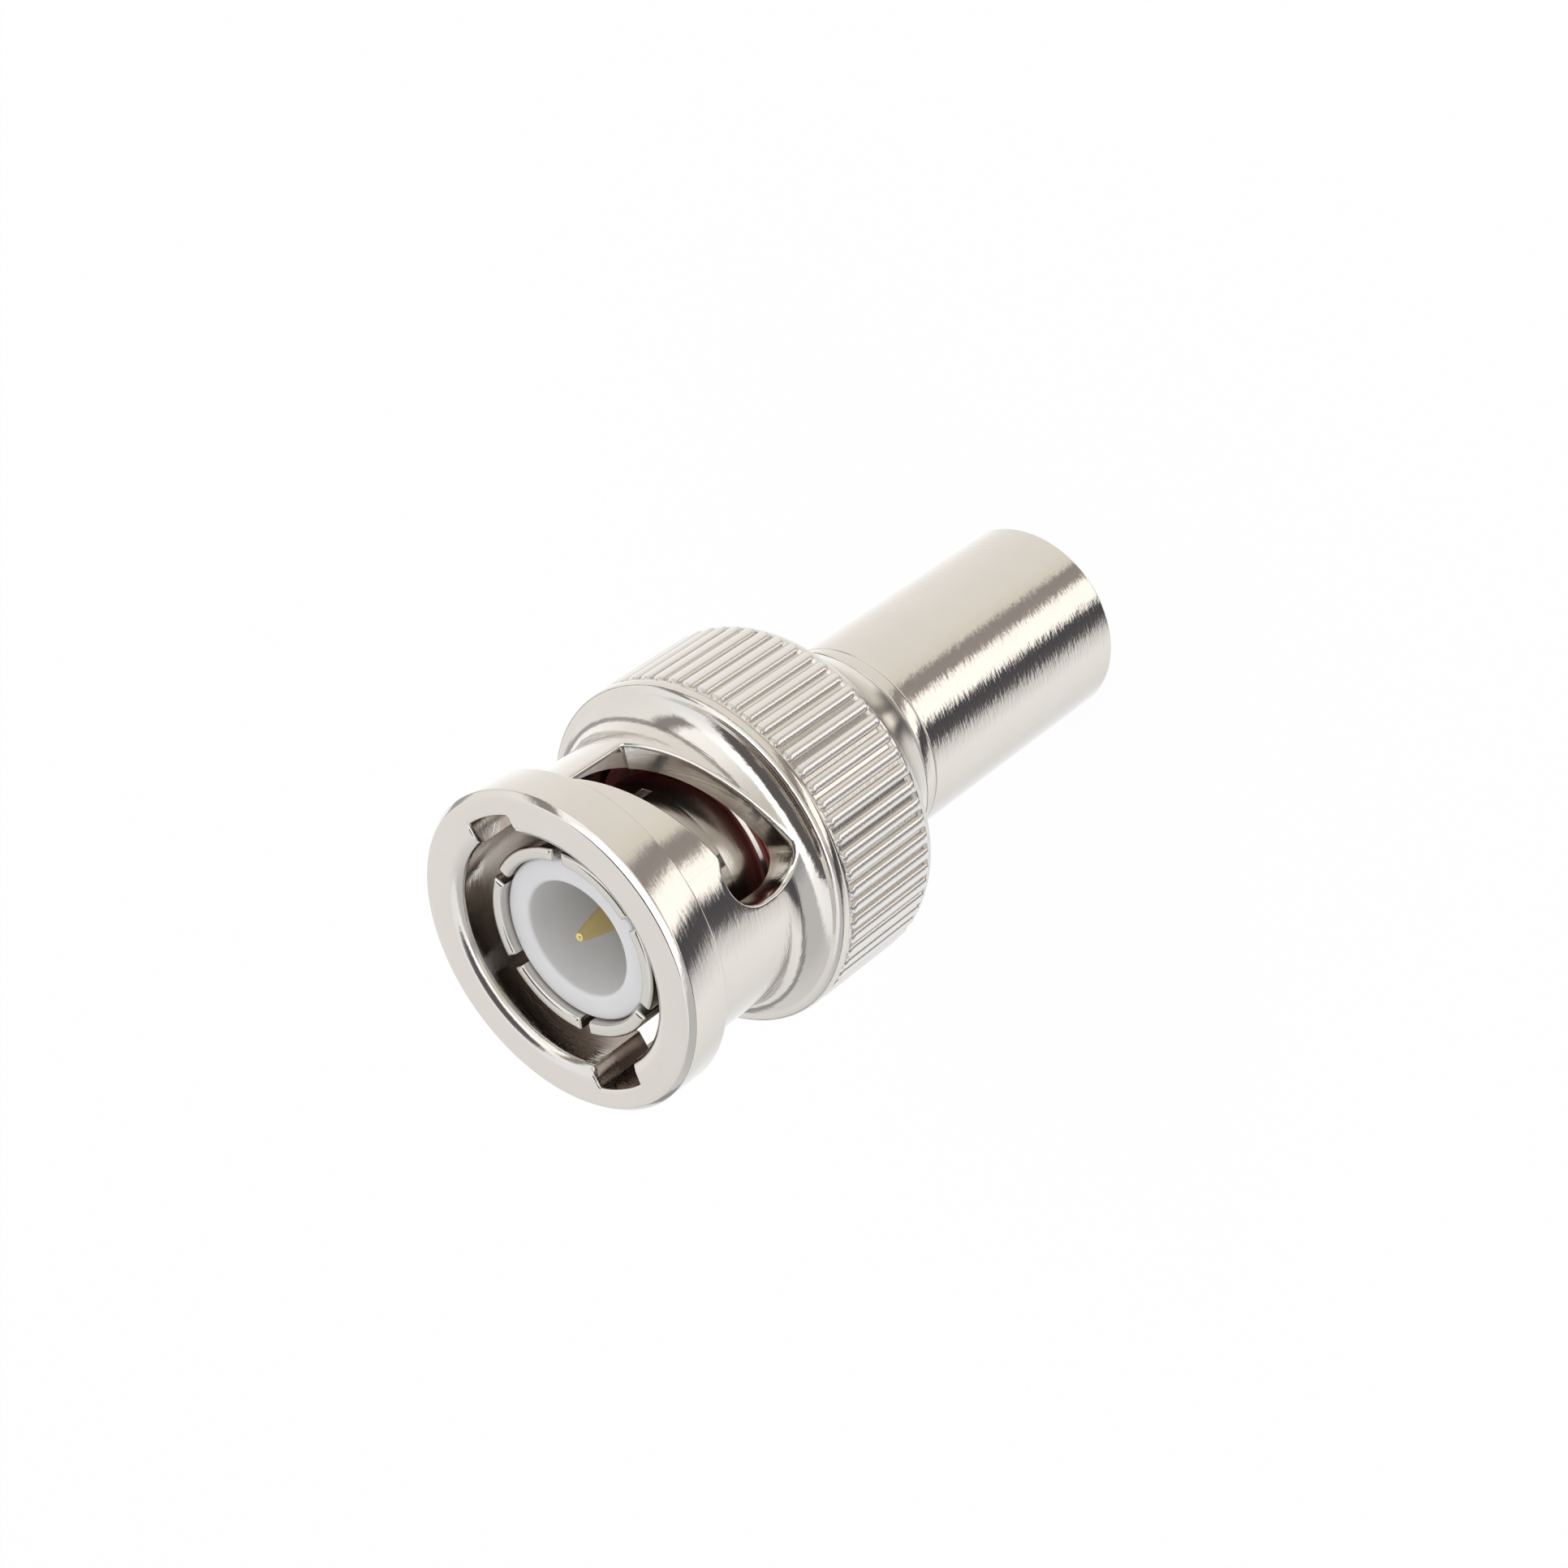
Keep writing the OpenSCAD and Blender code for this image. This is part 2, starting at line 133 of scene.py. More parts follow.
class PlugFinishes(bpy.types.PropertyGroup):
    """Colours and polish of the plug's materials."""
    nickel: tint("Nickel", "Colour of the nickel plate", (0.722, 0.690, 0.648))
    nickel_dull: tint("Handled nickel", "Colour where the plate is dull",
                      (0.634, 0.606, 0.568))
    # painted shade: darker colour on the knurl ridges' flanks and on the walls of the slots and
    # the bore
    tarnish: tint("Groove tarnish", "Colour down in the knurl", (0.56, 0.53, 0.49))
    # painted highlight: lighter colour on the crowns of the knurl's ridges
    rubbed: tint("Rubbed ridge", "Colour of the knurl's ridges", (0.86, 0.85, 0.84))
    # painted shade: brown colour on the walls of the slots and the bore, strongest deep in the
    # bore
    milled: tint("Milled wall", "Colour of the bore and the slots' walls", (0.41, 0.31, 0.27))
    polish: FloatProperty(name="Nickel roughness", description="Roughness of the bright plate",
                          default=0.075, min=0.0, max=1.0, subtype="FACTOR")
    insulator: tint("Insulator", "Colour of the white insulator", (0.69, 0.69, 0.705))
    insulator_cloud: tint("Insulator cloud", "Colour of the insulator's darker clouds",
                          (0.64, 0.64, 0.655))
    gasket: tint("Gasket", "Colour of the silicone gasket", (0.50, 0.115, 0.105))
    gasket_dust: tint("Gasket dust", "Colour of the dust on the gasket", (0.48, 0.17, 0.16))
    spring: tint("Spring strip", "Colour of the washers", (0.55, 0.54, 0.52))
    spring_dull: tint("Dull strip", "Colour of the washers' duller patches",
                      (0.42, 0.41, 0.39))


class PlugStudio(bpy.types.PropertyGroup):
    """Camera, floor and light."""
    azimuth: FloatProperty(name="Azimuth", description="Camera direction round the plug",
                           default=math.radians(15.0), subtype="ANGLE")
    elevation: FloatProperty(name="Elevation", description="Camera height angle",
                             default=math.radians(39.46), subtype="ANGLE")
    roll: FloatProperty(name="Roll", description="Clockwise roll of the camera",
                        default=math.radians(125.11), subtype="ANGLE")
    distance: length("Distance", "Camera distance from the aim point", 119.46)
    aim_height: length("Aim height", "Height of the aim point", 16.61)
    aim_side: length("Aim side", "Distance of the aim point from the axis, along Y", 0.3)
    focal: FloatProperty(name="Lens", description="Focal length on a 36 mm sensor",
                         default=68.94, min=10.0, unit="CAMERA")
    floor_colour: tint("Floor", "Colour of the floor", (0.90, 0.90, 0.90))
    light: FloatProperty(name="Light level", description="Strength of the surroundings",
                         default=1.0, min=0.0, max=3.0)


def sizes():
    """All size properties as plain numbers, lengths in millimetres, with stations worked out."""
    group = bpy.context.scene.plug_sizes
    s = SimpleNamespace(**{
        key: getattr(group, key) if key == "ridges" else getattr(group, key) / MM
        for key in PlugSizes.__annotations__})

    # coupling nut, from its rear rim to its mouth
    s.lip_radius, s.rim_radius = 3.68, 4.65
    s.knurl_start, s.knurl_front = s.nut_start + 3.50, s.nut_start + 8.35
    s.bead_end = s.nut_start + 9.0
    s.flare_end = s.bead_end + 1.2
    s.ring_start = s.face - s.ring_length
    s.pocket, s.pocket_step = s.face - s.pocket_depth, 0.5
    s.open_turn = math.radians(73.0)    # beyond this turn the track doesn't break the skin
    s.blind_turn = math.radians(90.0) + math.asin(s.channel_width / 2.0 / s.channel_floor)

    # steps along the bore of the rear body, and the contact's tail in it
    s.cable_bore, s.stem_radius, s.stem_start = 2.4, 2.9, 3.0
    s.shelf, s.tail_end, s.neck_end = 12.90, 16.05, 19.25
    s.tail_bore, s.tail_radius = 2.63, 3.10

    # outer contact, insulator and pin in front of the neck
    s.flange_radius, s.flange_front, s.root_radius = 4.82, 20.85, 4.15
    s.gasket_front = s.face - 7.85
    s.tip = s.face - 0.85
    s.slit_end = s.tip - 5.1
    s.insulator = high("front_insulator").z / MM
    s.insulator_rear, s.insulator_step = 17.50, 20.50
    s.pin_rear, s.pin_flange, s.pin_tip = 13.10, 16.90, high("centre_pin").z / MM
    s.seat = 0.03                       # gap a side between one round piece and the next
    return s


# ---------------------------------------------------------------- shape tools

def smooth_max(a, b, soft):
    """Larger of two fields, with the crease between them rounded over about soft."""
    return 0.5 * (a + b + np.sqrt((a - b) ** 2 + soft ** 2))


def smooth_min(a, b, soft):
    """Smaller of two fields, with the crease between them rounded over about soft."""
    return 0.5 * (a + b - np.sqrt((a - b) ** 2 + soft ** 2))


def smooth_step(t):
    """0 below t = 0, 1 above t = 1, and the cubic 3t2 - 2t3 between."""
    t = np.clip(t, 0.0, 1.0)
    return t * t * (3.0 - 2.0 * t)


def shares(count):
    """Evenly spaced numbers from 0 to 1, as a column."""
    return np.linspace(0.0, 1.0, count)[:, None]


def bow(start, end, sag, count):
    """Points from start to end, pushed to the left of the way by the parabola 4 sag t (1 - t)."""
    start, end = np.array(start, float), np.array(end, float)
    way = end - start
    side = np.array([-way[1], way[0]]) / np.linalg.norm(way)
    t = shares(count)
    return start + t * way + 4.0 * sag * t * (1.0 - t) * side


def rounded(corners, steps=4):
    """Section path from (radius, height, rounding) corners.

    Each corner with a rounding is replaced by the arc that touches both of its sides; the arc's
    centre lies on the corner's bisector at rounding / sin(half angle). A corner whose sides run
    straight on stays a point."""
    corners = np.array(corners, float)
    straight = 1.55
    points = []
    for before, corner, after in zip(np.roll(corners, 1, 0), corners, np.roll(corners, -1, 0)):
        here, radius = corner[:2], corner[2]
        if radius <= 0.0:
            points.append(here[None])
            continue
        one, two = before[:2] - here, after[:2] - here
        one, two = one / np.linalg.norm(one), two / np.linalg.norm(two)
        half = math.acos(np.clip(one @ two, -1.0, 1.0)) / 2.0
        if half > straight:
            points.append(here[None])
            continue
        middle = (one + two) / np.linalg.norm(one + two)
        centre = here + middle * radius / math.sin(half)
        touch = radius / math.tan(half)
        a, b = here + one * touch - centre, here + two * touch - centre
        turn = math.atan2(a[0] * b[1] - a[1] * b[0], a @ b)
        angle = math.atan2(a[1], a[0]) + turn * np.linspace(0.0, 1.0, steps + 1)
        points.append(centre + radius * np.stack([np.cos(angle), np.sin(angle)], 1))
    return np.concatenate(points)


def around(radius, angle, height):
    """Points (radius cos angle, radius sin angle, height) from three arrays."""
    radius, angle, height = np.broadcast_arrays(radius, angle, height)
    return np.stack([radius * np.cos(angle), radius * np.sin(angle), height], -1)


class Shell:
    """Grids of points that are sewn into one closed surface.

    Each point carries a groove level that the nickel finish reads: 0 on bright plate, -1 on the
    crown of a ridge, where it paints a highlight, and the wall level on the machined walls of the
    slots and the bore, where it paints shade."""

    def __init__(self):
        self.points, self.faces, self.values, self.count = [], [], [], 0

    def grid(self, points, closed=(False, False), value=0.0):
        """Adds a grid of rows and columns; closed says which ways it runs round."""
        rows, columns = points.shape[:2]
        i = np.arange(rows if closed[0] else rows - 1)[:, None]
        j = np.arange(columns if closed[1] else columns - 1)[None]
        up, right = (i + 1) % rows, (j + 1) % columns
        quads = np.stack(np.broadcast_arrays(i * columns + j, i * columns + right,
                                             up * columns + right, up * columns + j), -1)
        self.faces.append(quads.reshape(-1, 4) + self.count)
        self.points.append(points.reshape(-1, 3))
        self.values.append(np.broadcast_to(value, (rows, columns)).reshape(-1))
        self.count += rows * columns
        return self

    def turned(self, path, columns=256):
        """Adds a section path carried once round the axis; it closes unless it ends on it."""
        angle = np.linspace(0.0, 2.0 * np.pi, columns, endpoint=False)[None]
        closes = max(path[0, 0], path[-1, 0]) > 1e-6
        return self.grid(around(path[:, :1], angle, path[:, 1:2]), (closes, True))

    def join(self, other):
        """Takes over the grids of another shell."""
        self.faces += [faces + self.count for faces in other.faces]
        self.points += other.points
        self.values += other.values
        self.count += other.count

    def finish(self, name, material, body, nodes, slot, crease=35.0):
        """Sews the grids, points the faces outwards and hands the piece to its body."""
        mesh = bpy.data.meshes.new(name)
        points = np.concatenate(self.points) * MM
        mesh.from_pydata(points.tolist(), [], np.concatenate(self.faces).tolist())
        level = mesh.attributes.new("groove", "FLOAT", "POINT")
        level.data.foreach_set("value", np.concatenate(self.values).astype(np.float32))
        work = bmesh.new()
        work.from_mesh(mesh)
        bmesh.ops.remove_doubles(work, verts=work.verts, dist=1.5e-6)
        bmesh.ops.dissolve_degenerate(work, edges=work.edges, dist=1e-7)
        bmesh.ops.recalc_face_normals(work, faces=work.faces)
        open_edges = sum(1 for edge in work.edges if not edge.is_manifold)
        work.to_mesh(mesh)
        work.free()
        if open_edges:
            print(f"{name}: {open_edges} edges are not closed")
        mesh.shade_smooth()
        mesh.set_sharp_from_angle(angle=math.radians(crease))
        mesh.materials.append(material)
        piece = bpy.data.objects.new(name, mesh)
        bpy.context.scene.collection.objects.link(piece)
        evened = piece.modifiers.new("even_normals", "WEIGHTED_NORMAL")
        evened.keep_sharp = True
        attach(piece, body)
        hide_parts(*nodes)
        return piece


# ---------------------------------------------------------------- coupling nut

SHADED_WALL = 1.3           # groove level of the machined walls, where the nickel finish paints brown shade
BEAD_FOOT = 0.30    # how far the bead's front foot lies below the knurl


def flare_radius(s, height):
    """Skin radius in front of the bead: the hollow flare, then the plain barrel.

    The flare is a parabola bow below the straight line from the bead's foot to the barrel."""
    curve = bow((s.knurl_radius - 0.45, s.bead_end), (s.barrel_radius, s.flare_end), 0.22, 25)
    return np.interp(height, curve[:, 1], curve[:, 0])


def knurled_skin(s, angle, height):
    """Radius and groove level of the knurled half of the nut at each angle and height.

    Floor: the hollow bell, a rounded shoulder, a cylinder under the ridges, then the fine turned
    line and the bead. Ridge: a bar with round ends and a half-ellipse section; with d the
    distance to the bar's middle line, it rises by sqrt(1 - (d / foot)^2)."""
    base, front, full = s.nut_start, s.knurl_front, s.knurl_radius
    bell_end = base + 3.1
    bell = bow((s.rim_radius, base + 0.1), (full - 0.34, bell_end), 0.25, 24)
    shoulder = [[-0.30, 3.14], [-0.20, 3.22], [-0.11, 3.40], [-0.075, 3.48], [-0.07, 3.60],
                [-s.knurl_depth, 3.74]]
    line_and_bead = [
        [-s.knurl_depth, -0.14], [-0.10, -0.06], [-0.12, 0.01], [-0.24, 0.06], [-0.22, 0.10],
        [-0.03, 0.15], [0.0, 0.19], [-0.01, 0.33], [-0.03, 0.44], [-0.07, 0.53], [-0.13, 0.59],
        [-0.20, 0.63], [-BEAD_FOOT, 0.65]]
    table = np.concatenate([bell, np.add(shoulder, (full, base)),
                            np.add(line_and_bead, (full, front))])
    floor = np.interp(height, table[:, 1], table[:, 0])

    foot = 0.300
    pitch = 2.0 * np.pi / s.ridges
    across = (np.mod(angle + pitch / 2.0, pitch) - pitch / 2.0) * full
    rear_middle, front_middle = s.knurl_start + foot, front - 0.03 - foot
    beyond = np.maximum(np.maximum(rear_middle - height, height - front_middle), 0.0)
    away = np.hypot(across, beyond)
    lift = np.sqrt(1.0 - np.minimum(away / foot, 1.0) ** 2)
    radius = floor + np.maximum(full - floor, 0.0) * lift

    # groove levels for the finish: -1 on a ridge's crown, where it paints a highlight, rising to
    # -0.4 at the ridge's foot, with painted shade on the flanks between; -0.5 beside the ridges
    ridged = (height > rear_middle - foot) & (height < front_middle + foot)
    beside = (height > bell_end) & (height < front)
    return radius, np.where(ridged, -1.0 + 0.6 * (1.0 - lift), -0.5 * beside)


def knurled_grip(s):
    """Bell, knurl and bead: the knurled skin outside, the lip and the bore inside.

    Columns and rows stand closest where the ridges' sides and ends meet the floor."""
    base, front = s.nut_start, s.knurl_front
    half_pitch = np.pi / s.ridges * s.knurl_radius
    side = np.array([-0.335, -0.302, -0.290, -0.260, -0.210, -0.150, -0.075, 0.0])
    across = np.concatenate([[-half_pitch], side, -side[-2::-1]])
    angle = (np.arange(s.ridges)[:, None] * (2.0 * np.pi / s.ridges)
             + across / s.knurl_radius).reshape(1, -1)
    heights = np.concatenate([
        base + 0.1 + np.linspace(0.0, 2.95, 18), base + np.array([3.09, 3.12, 3.15, 3.19, 3.24]),
        base + 3.30 + np.linspace(0.0, 0.62, 19), base + np.array([4.3, 5.2, 6.1, 7.0]),
        front - 0.03 - np.linspace(0.36, 0.0, 13),
        front + np.array([0.01, 0.04, 0.07, 0.11, 0.15, 0.19, 0.27, 0.33, 0.39, 0.44, 0.49,
                          0.53, 0.56, 0.59, 0.615, 0.63])])[:, None]
    radius, groove = knurled_skin(s, angle, heights)
    rim = rounded([(s.lip_radius, base, 0.05), (s.rim_radius, base, 0.12),
                   (s.rim_radius + 0.07, base + 0.4, 0)])[:-1]
    lip_front = base + 3.7
    inner = np.array([[s.knurl_radius - BEAD_FOOT - 0.02, s.bead_end],
                      [s.mouth_radius, s.bead_end], [s.mouth_radius, lip_front],
                      [s.lip_radius, lip_front]])
    lead, tail = (around(path[:, :1], angle, path[:, 1:2]) for path in (rim, inner))
    points = np.concatenate([lead, around(radius, angle, heights), tail])
    value = np.concatenate([np.zeros(lead.shape[:2]), groove, np.zeros(tail.shape[:2])])
    return Shell().grid(points, (True, True), value)


def mouth_bore(s, angle, height):
    """Bore radius at each angle and height: the round mouth joined with the entry channels.

    The mouth is a cylinder that opens to the face by a quarter ellipse. A channel is the strip
    within half its width of the Y axis, out to its floor, with a rounded outer edge. Between a
    channel and the open end of its slot the track is a band as deep as the channel. The bore is
    the largest of the three."""
    edge, reach, depth = 0.10, 0.52, 0.40
    near = np.clip(height - (s.face - edge), 0.0, edge)
    grow = edge - np.sqrt(edge ** 2 - near ** 2)
    lead = np.clip((height - (s.face - depth)) / depth, 0.0, 1.0)
    mouth = s.mouth_radius + reach * (1.0 - np.sqrt(1.0 - lead ** 2))
    strip = (s.channel_width / 2.0 + grow) / np.maximum(np.abs(np.cos(angle)), 1e-3)
    channel = smooth_min(strip, s.channel_floor + grow, 0.06)
    opened = smooth_step((height - (s.pocket + s.track_rise)) / 0.08)
    turn = np.mod(angle, np.pi)
    climb = s.pocket + s.track_rise * turn / (np.pi / 2.0)
    band = smooth_step((s.track_width / 2.0 - np.abs(height - climb)) / 0.10 + 0.5) \
        * smooth_step((turn - s.open_turn) * s.barrel_radius / 0.06 + 2.0) \
        * smooth_step((s.blind_turn - turn) * s.channel_floor / 0.12)
    widened = mouth + np.maximum(smooth_max(mouth, channel, 0.05) - mouth, 0.0) * opened
    return np.maximum(widened, mouth + (s.channel_floor - mouth) * band)


def slot_border(s):
    """The slot's border on the unrolled barrel: arc lengths, and the lower and upper heights.

    The middle climbs evenly from the pocket towards the entry channel. Both edges lie half a
    width from it, the pocket's end is a half circle, and the pocket also steps towards the
    mouth. The two corners at the other end are rounded by a quarter circle."""
    half, corner, ring = s.track_width / 2.0, 0.06, s.barrel_radius
    end = s.open_turn * ring
    quarter = np.linspace(0.0, np.pi / 2.0, 13)
    arc = np.unique(np.round(np.concatenate([
        -half * np.cos(quarter), np.linspace(0.0, end - corner, 84), [end - 0.12],
        np.linspace(0.5, 1.6, 22),
        end - corner + corner * np.sin(quarter)]), 4))
    arc = arc[np.concatenate([[True], np.diff(arc) > 0.008])]
    arc[0], arc[-1] = -half, end
    middle = s.pocket + s.track_rise * np.maximum(arc, 0.0) / (np.pi / 2.0 * ring)
    bulge = np.sqrt(np.maximum(half ** 2 - np.minimum(arc, 0.0) ** 2, 0.0))
    near_end = np.clip(arc - (end - corner), 0.0, corner)
    closing = corner - np.sqrt(np.maximum(corner ** 2 - near_end ** 2, 0.0))
    below = middle - bulge + closing
    pocket_top = s.pocket + s.pocket_step + np.sqrt(np.maximum(half ** 2 - arc ** 2, 0.0))
    above = smooth_max(middle + bulge, pocket_top, 0.14) - closing
    return arc, below, above


def border_loop(arc, below, above, rows):
    """The border as one loop of points, lower edge first, with normals that leave the slot.

    The rows of the two end walls stand close together near both edges."""
    close = np.array([0.0, 0.010, 0.020, 0.032, 0.050, 0.075])
    share = np.concatenate([close[1:], np.linspace(0.11, 0.89, rows + 1 - 2 * len(close)),
                            1.0 - close[:0:-1]])
    far = np.stack([np.full_like(share, arc[-1]), below[-1] + share * (above[-1] - below[-1])], 1)
    near = np.stack([np.full_like(share, arc[0]), above[0] + share * (below[0] - above[0])], 1)
    loop = np.concatenate([np.stack([arc, below], 1), far,
                           np.stack([arc, above], 1)[::-1], near])
    along = np.roll(loop, -1, 0) - np.roll(loop, 1, 0)
    along /= np.linalg.norm(along, axis=1, keepdims=True)
    return loop, np.stack([along[:, 1], -along[:, 0]], 1)


def split_loop(loop, count, rows):
    """Lower edge, far wall, upper edge and pocket wall of a loop, each running the same way up."""
    low_edge, far = loop[:count], loop[count:count + rows - 1]
    high_edge = loop[count + rows - 1:2 * count + rows - 1][::-1]
    near = loop[2 * count + rows - 1:][::-1]
    far_wall = np.concatenate([low_edge[-1:], far, high_edge[-1:]])
    near_wall = np.concatenate([low_edge[:1], near, high_edge[:1]])
    return low_edge, high_edge, far_wall, near_wall


def barrel_layout(s, border, count, rows):
    """Both edges over a full turn of the unrolled barrel, and the block between two slots.

    The block's rows run straight from one slot's far wall to the next one's pocket. Where the
    blind track lies under them they follow its climb instead, and fade back beyond its end."""
    half_turn = np.array([np.pi * s.barrel_radius, 0.0])
    share = np.linspace(0.0, 1.0, 96)[None, :, None]
    low_edge, high_edge, far_wall, near_wall = split_loop(border, count, rows)
    between = far_wall[:, None] * (1.0 - share) + (near_wall + half_turn)[:, None] * share
    climb = s.track_rise * (between[..., 0] - far_wall[:, None, 0]) \
        / (np.pi / 2.0 * s.barrel_radius)
    track = far_wall[:, None, 1] + climb
    hidden = smooth_step((s.blind_turn * s.barrel_radius + 1.6 - between[..., 0]) / 1.4)
    between[..., 1] = between[..., 1] * (1.0 - hidden) + track * hidden
    low_row = np.concatenate([low_edge, between[0, 1:-1]])
    high_row = np.concatenate([high_edge, between[-1, 1:-1]])
    return (np.concatenate([low_row, low_row + half_turn]),
            np.concatenate([high_row, high_row + half_turn]), between)


def behind_slots(s, skin_edge, bore_edge, close):
    """The skin from the bead up to the slots, and the bore from the slots back to the bead."""
    ring = s.barrel_radius
    height = s.bead_end + shares(20) * (skin_edge[:, 1] - s.bead_end)
    skin = around(flare_radius(s, height), skin_edge[:, 0] / ring, height)
    depth = np.linspace(0.9, 0.0, 6)[:, None]
    height = np.concatenate([
        bore_edge[:, 1] - close,
        s.bead_end + depth * (bore_edge[:, 1] - close[-1] - s.bead_end)])
    angle = bore_edge[:, 0] / ring
    return skin, around(mouth_bore(s, angle, height), angle, height)


def mouth_side(s, skin_edge, bore_edge, close):
    """Skin in front of the slots, ring, face and bore as one grid, with its groove levels."""
    ring = s.barrel_radius
    height = skin_edge[:, 1] + shares(9) * (s.ring_start - skin_edge[:, 1])
    barrel = around(ring, skin_edge[:, 0] / ring, height)
    angle = bore_edge[:, 0][None] / ring
    bevel = s.ring_radius - 0.21, s.face - 0.21
    section = rounded([(ring, s.ring_start, 0), (s.ring_radius, s.ring_start, 0.10),
                       (s.ring_radius, bevel[1], 0.10), (bevel[0], s.face, 0.10),
                       (s.mouth_radius, s.face, 0)])[1:-1]
    outside = around(section[:, :1], angle, section[:, 1:2])
    bore_rim = mouth_bore(s, angle, np.full_like(angle, s.face)) + 0.01
    face = around(section[-1, 0] + shares(5)[1:-1] * (bore_rim - section[-1, 0]), angle, s.face)
    drop = np.array([0, .002, .006, .012, .02, .03, .045, .065, .09, .12, .16, .21, .27, .33,
                     .39, .42, .60, .95, 1.4])[:, None]
    depth = np.linspace(0.0, 0.9, 6)[:, None]
    height = np.concatenate([
        s.face - drop + 0.0 * angle,
        s.ring_start + depth * (bore_edge[:, 1] + close[-1] - s.ring_start),
        bore_edge[:, 1] + close[::-1]])
    inside = around(mouth_bore(s, angle, height), angle, height)
    skin = np.concatenate([barrel, outside, face])
    # groove levels: painted shade on the bore that deepens from the face inwards
    level = np.concatenate([np.zeros(skin.shape[:2]),
                            SHADED_WALL * smooth_step((s.face - 0.25 - height) / 1.3)])
    return np.concatenate([skin, inside]), level


def slot_wall(s, loop, normals, start):
    """Wall of one slot: a quarter circle over its outer rim, then straight in to the bore."""
    edge, ring = s.slot_edge, s.barrel_radius
    turn = np.linspace(0.0, np.pi / 2.0, 6)[:, None, None]
    rim = loop + normals * edge * (1.0 - np.sin(turn))
    fall = edge * (1.0 - np.cos(turn[..., 0]))
    rounding = around(flare_radius(s, rim[..., 1]) - fall, rim[..., 0] / ring + start,
                      rim[..., 1])
    angle = loop[:, 0] / ring + start
    outer = flare_radius(s, loop[:, 1]) - edge
    inner = mouth_bore(s, angle, loop[:, 1])
    wall = around(outer + shares(6)[1:] * (inner - outer), angle, loop[:, 1])
    # groove levels: the rounding stays bright plate, and painted shade grows across the wall
    # towards the bore
    level = np.concatenate([np.zeros(6), [0.3, 0.7, 1.0, SHADED_WALL, SHADED_WALL]])[:, None]
    return np.concatenate([rounding, wall]), level


def slotted_barrel(s):
    """Flare, barrel with its two helical slots, and the mouth ring, as one closed surface.

    The wall is laid out on the unrolled barrel in blocks that follow the slots' border: below,
    above and between the slots. The skin's blocks stop one rounding short of the border, and
    the slot's wall starts there as a quarter circle before it runs in to the bore."""
    rows = 30
    close = np.array([0.0, 0.02, 0.04, 0.06, 0.10])[:, None]
    arc, below, above = slot_border(s)
    loop, normals = border_loop(arc, below, above, rows)
    skin_low, skin_high, skin_between = barrel_layout(s, loop + normals * s.slot_edge,
                                                      len(arc), rows)
    bore_low, bore_high, bore_between = barrel_layout(s, loop, len(arc), rows)
    shell = Shell()

    under, behind = behind_slots(s, skin_low, bore_low, close)
    # the bore behind the slots takes the full painted shade
    level = np.concatenate([np.full(behind.shape[:2], SHADED_WALL), np.zeros(under.shape[:2])])
    shell.grid(np.concatenate([behind, under]), (False, True), level)
    points, level = mouth_side(s, skin_high, bore_high, close)
    shell.grid(points, (False, True), level)

    for start in (0.0, np.pi):
        angle, height = skin_between[..., 0] / s.barrel_radius + start, skin_between[..., 1]
        shell.grid(around(flare_radius(s, height), angle, height))
        angle, height = bore_between[..., 0] / s.barrel_radius + start, bore_between[..., 1]
        # the bore between the slots takes the full painted shade
        shell.grid(around(mouth_bore(s, angle, height), angle, height), value=SHADED_WALL)
        points, level = slot_wall(s, loop, normals, start)
        shell.grid(points, (False, True), level)

    # ring of material between skin and bore where the barrel grows out of the bead
    shell.grid(np.stack([under[0], behind[-1]]), (False, True))
    return shell


# ---------------------------------------------------------------- the other pieces

def sleeve_path(s):
    """Section of the crimp sleeve: a tube with small turned breaks at both ends."""
    bore, end = s.sleeve_radius - s.sleeve_wall, s.sleeve_end - 0.015
    return rounded([(bore, 0.0, 0.10), (s.sleeve_radius, 0.0, 0.10),
                    (s.sleeve_radius, end, 0.05), (bore, end, 0)])


def body_path(s):
    """Section of the rear body: serrated stem, land, collar, shoulder and neck.

    The serrations are a saw tooth: a slow rise of one pitch and a square fall."""
    start, stem, radius = s.stem_start, s.stem_radius, s.sleeve_radius
    land, land_radius = s.sleeve_end - 1.5, radius - s.sleeve_wall - s.seat
    pitch, tooth = 0.7, 0.15
    shoulder, shoulder_radius = s.collar_end + 0.25, 4.05
    count = int((land - start - 0.8) / pitch)
    step = np.arange(count)[:, None] * pitch + start + 0.4
    teeth = np.stack([np.full_like(step, stem - tooth), step, np.zeros_like(step),
                      np.full_like(step, stem), step + pitch - tooth,
                      np.full_like(step, 0.03)], -1)
    tail_seat = s.tail_radius + s.seat
    return rounded(np.concatenate([
        [[s.cable_bore, start, 0.05], [s.cable_bore + 0.25, start, 0.05]], teeth.reshape(-1, 3),
        [[stem - tooth, land, 0], [land_radius, land, 0.05], [land_radius, s.sleeve_end, 0],
         [radius, s.sleeve_end, 0.05], [radius, s.collar_end, 0.09],
         [shoulder_radius, s.collar_end, 0.0], [shoulder_radius, shoulder, 0.04],
         [s.neck_radius, shoulder, 0.0], [s.neck_radius, s.neck_end, 0.05],
         [tail_seat, s.neck_end, 0.05], [tail_seat, s.tail_end, 0], [s.tail_bore, s.tail_end, 0],
         [s.tail_bore, s.shelf, 0], [s.cable_bore, s.shelf, 0]]]), 3)


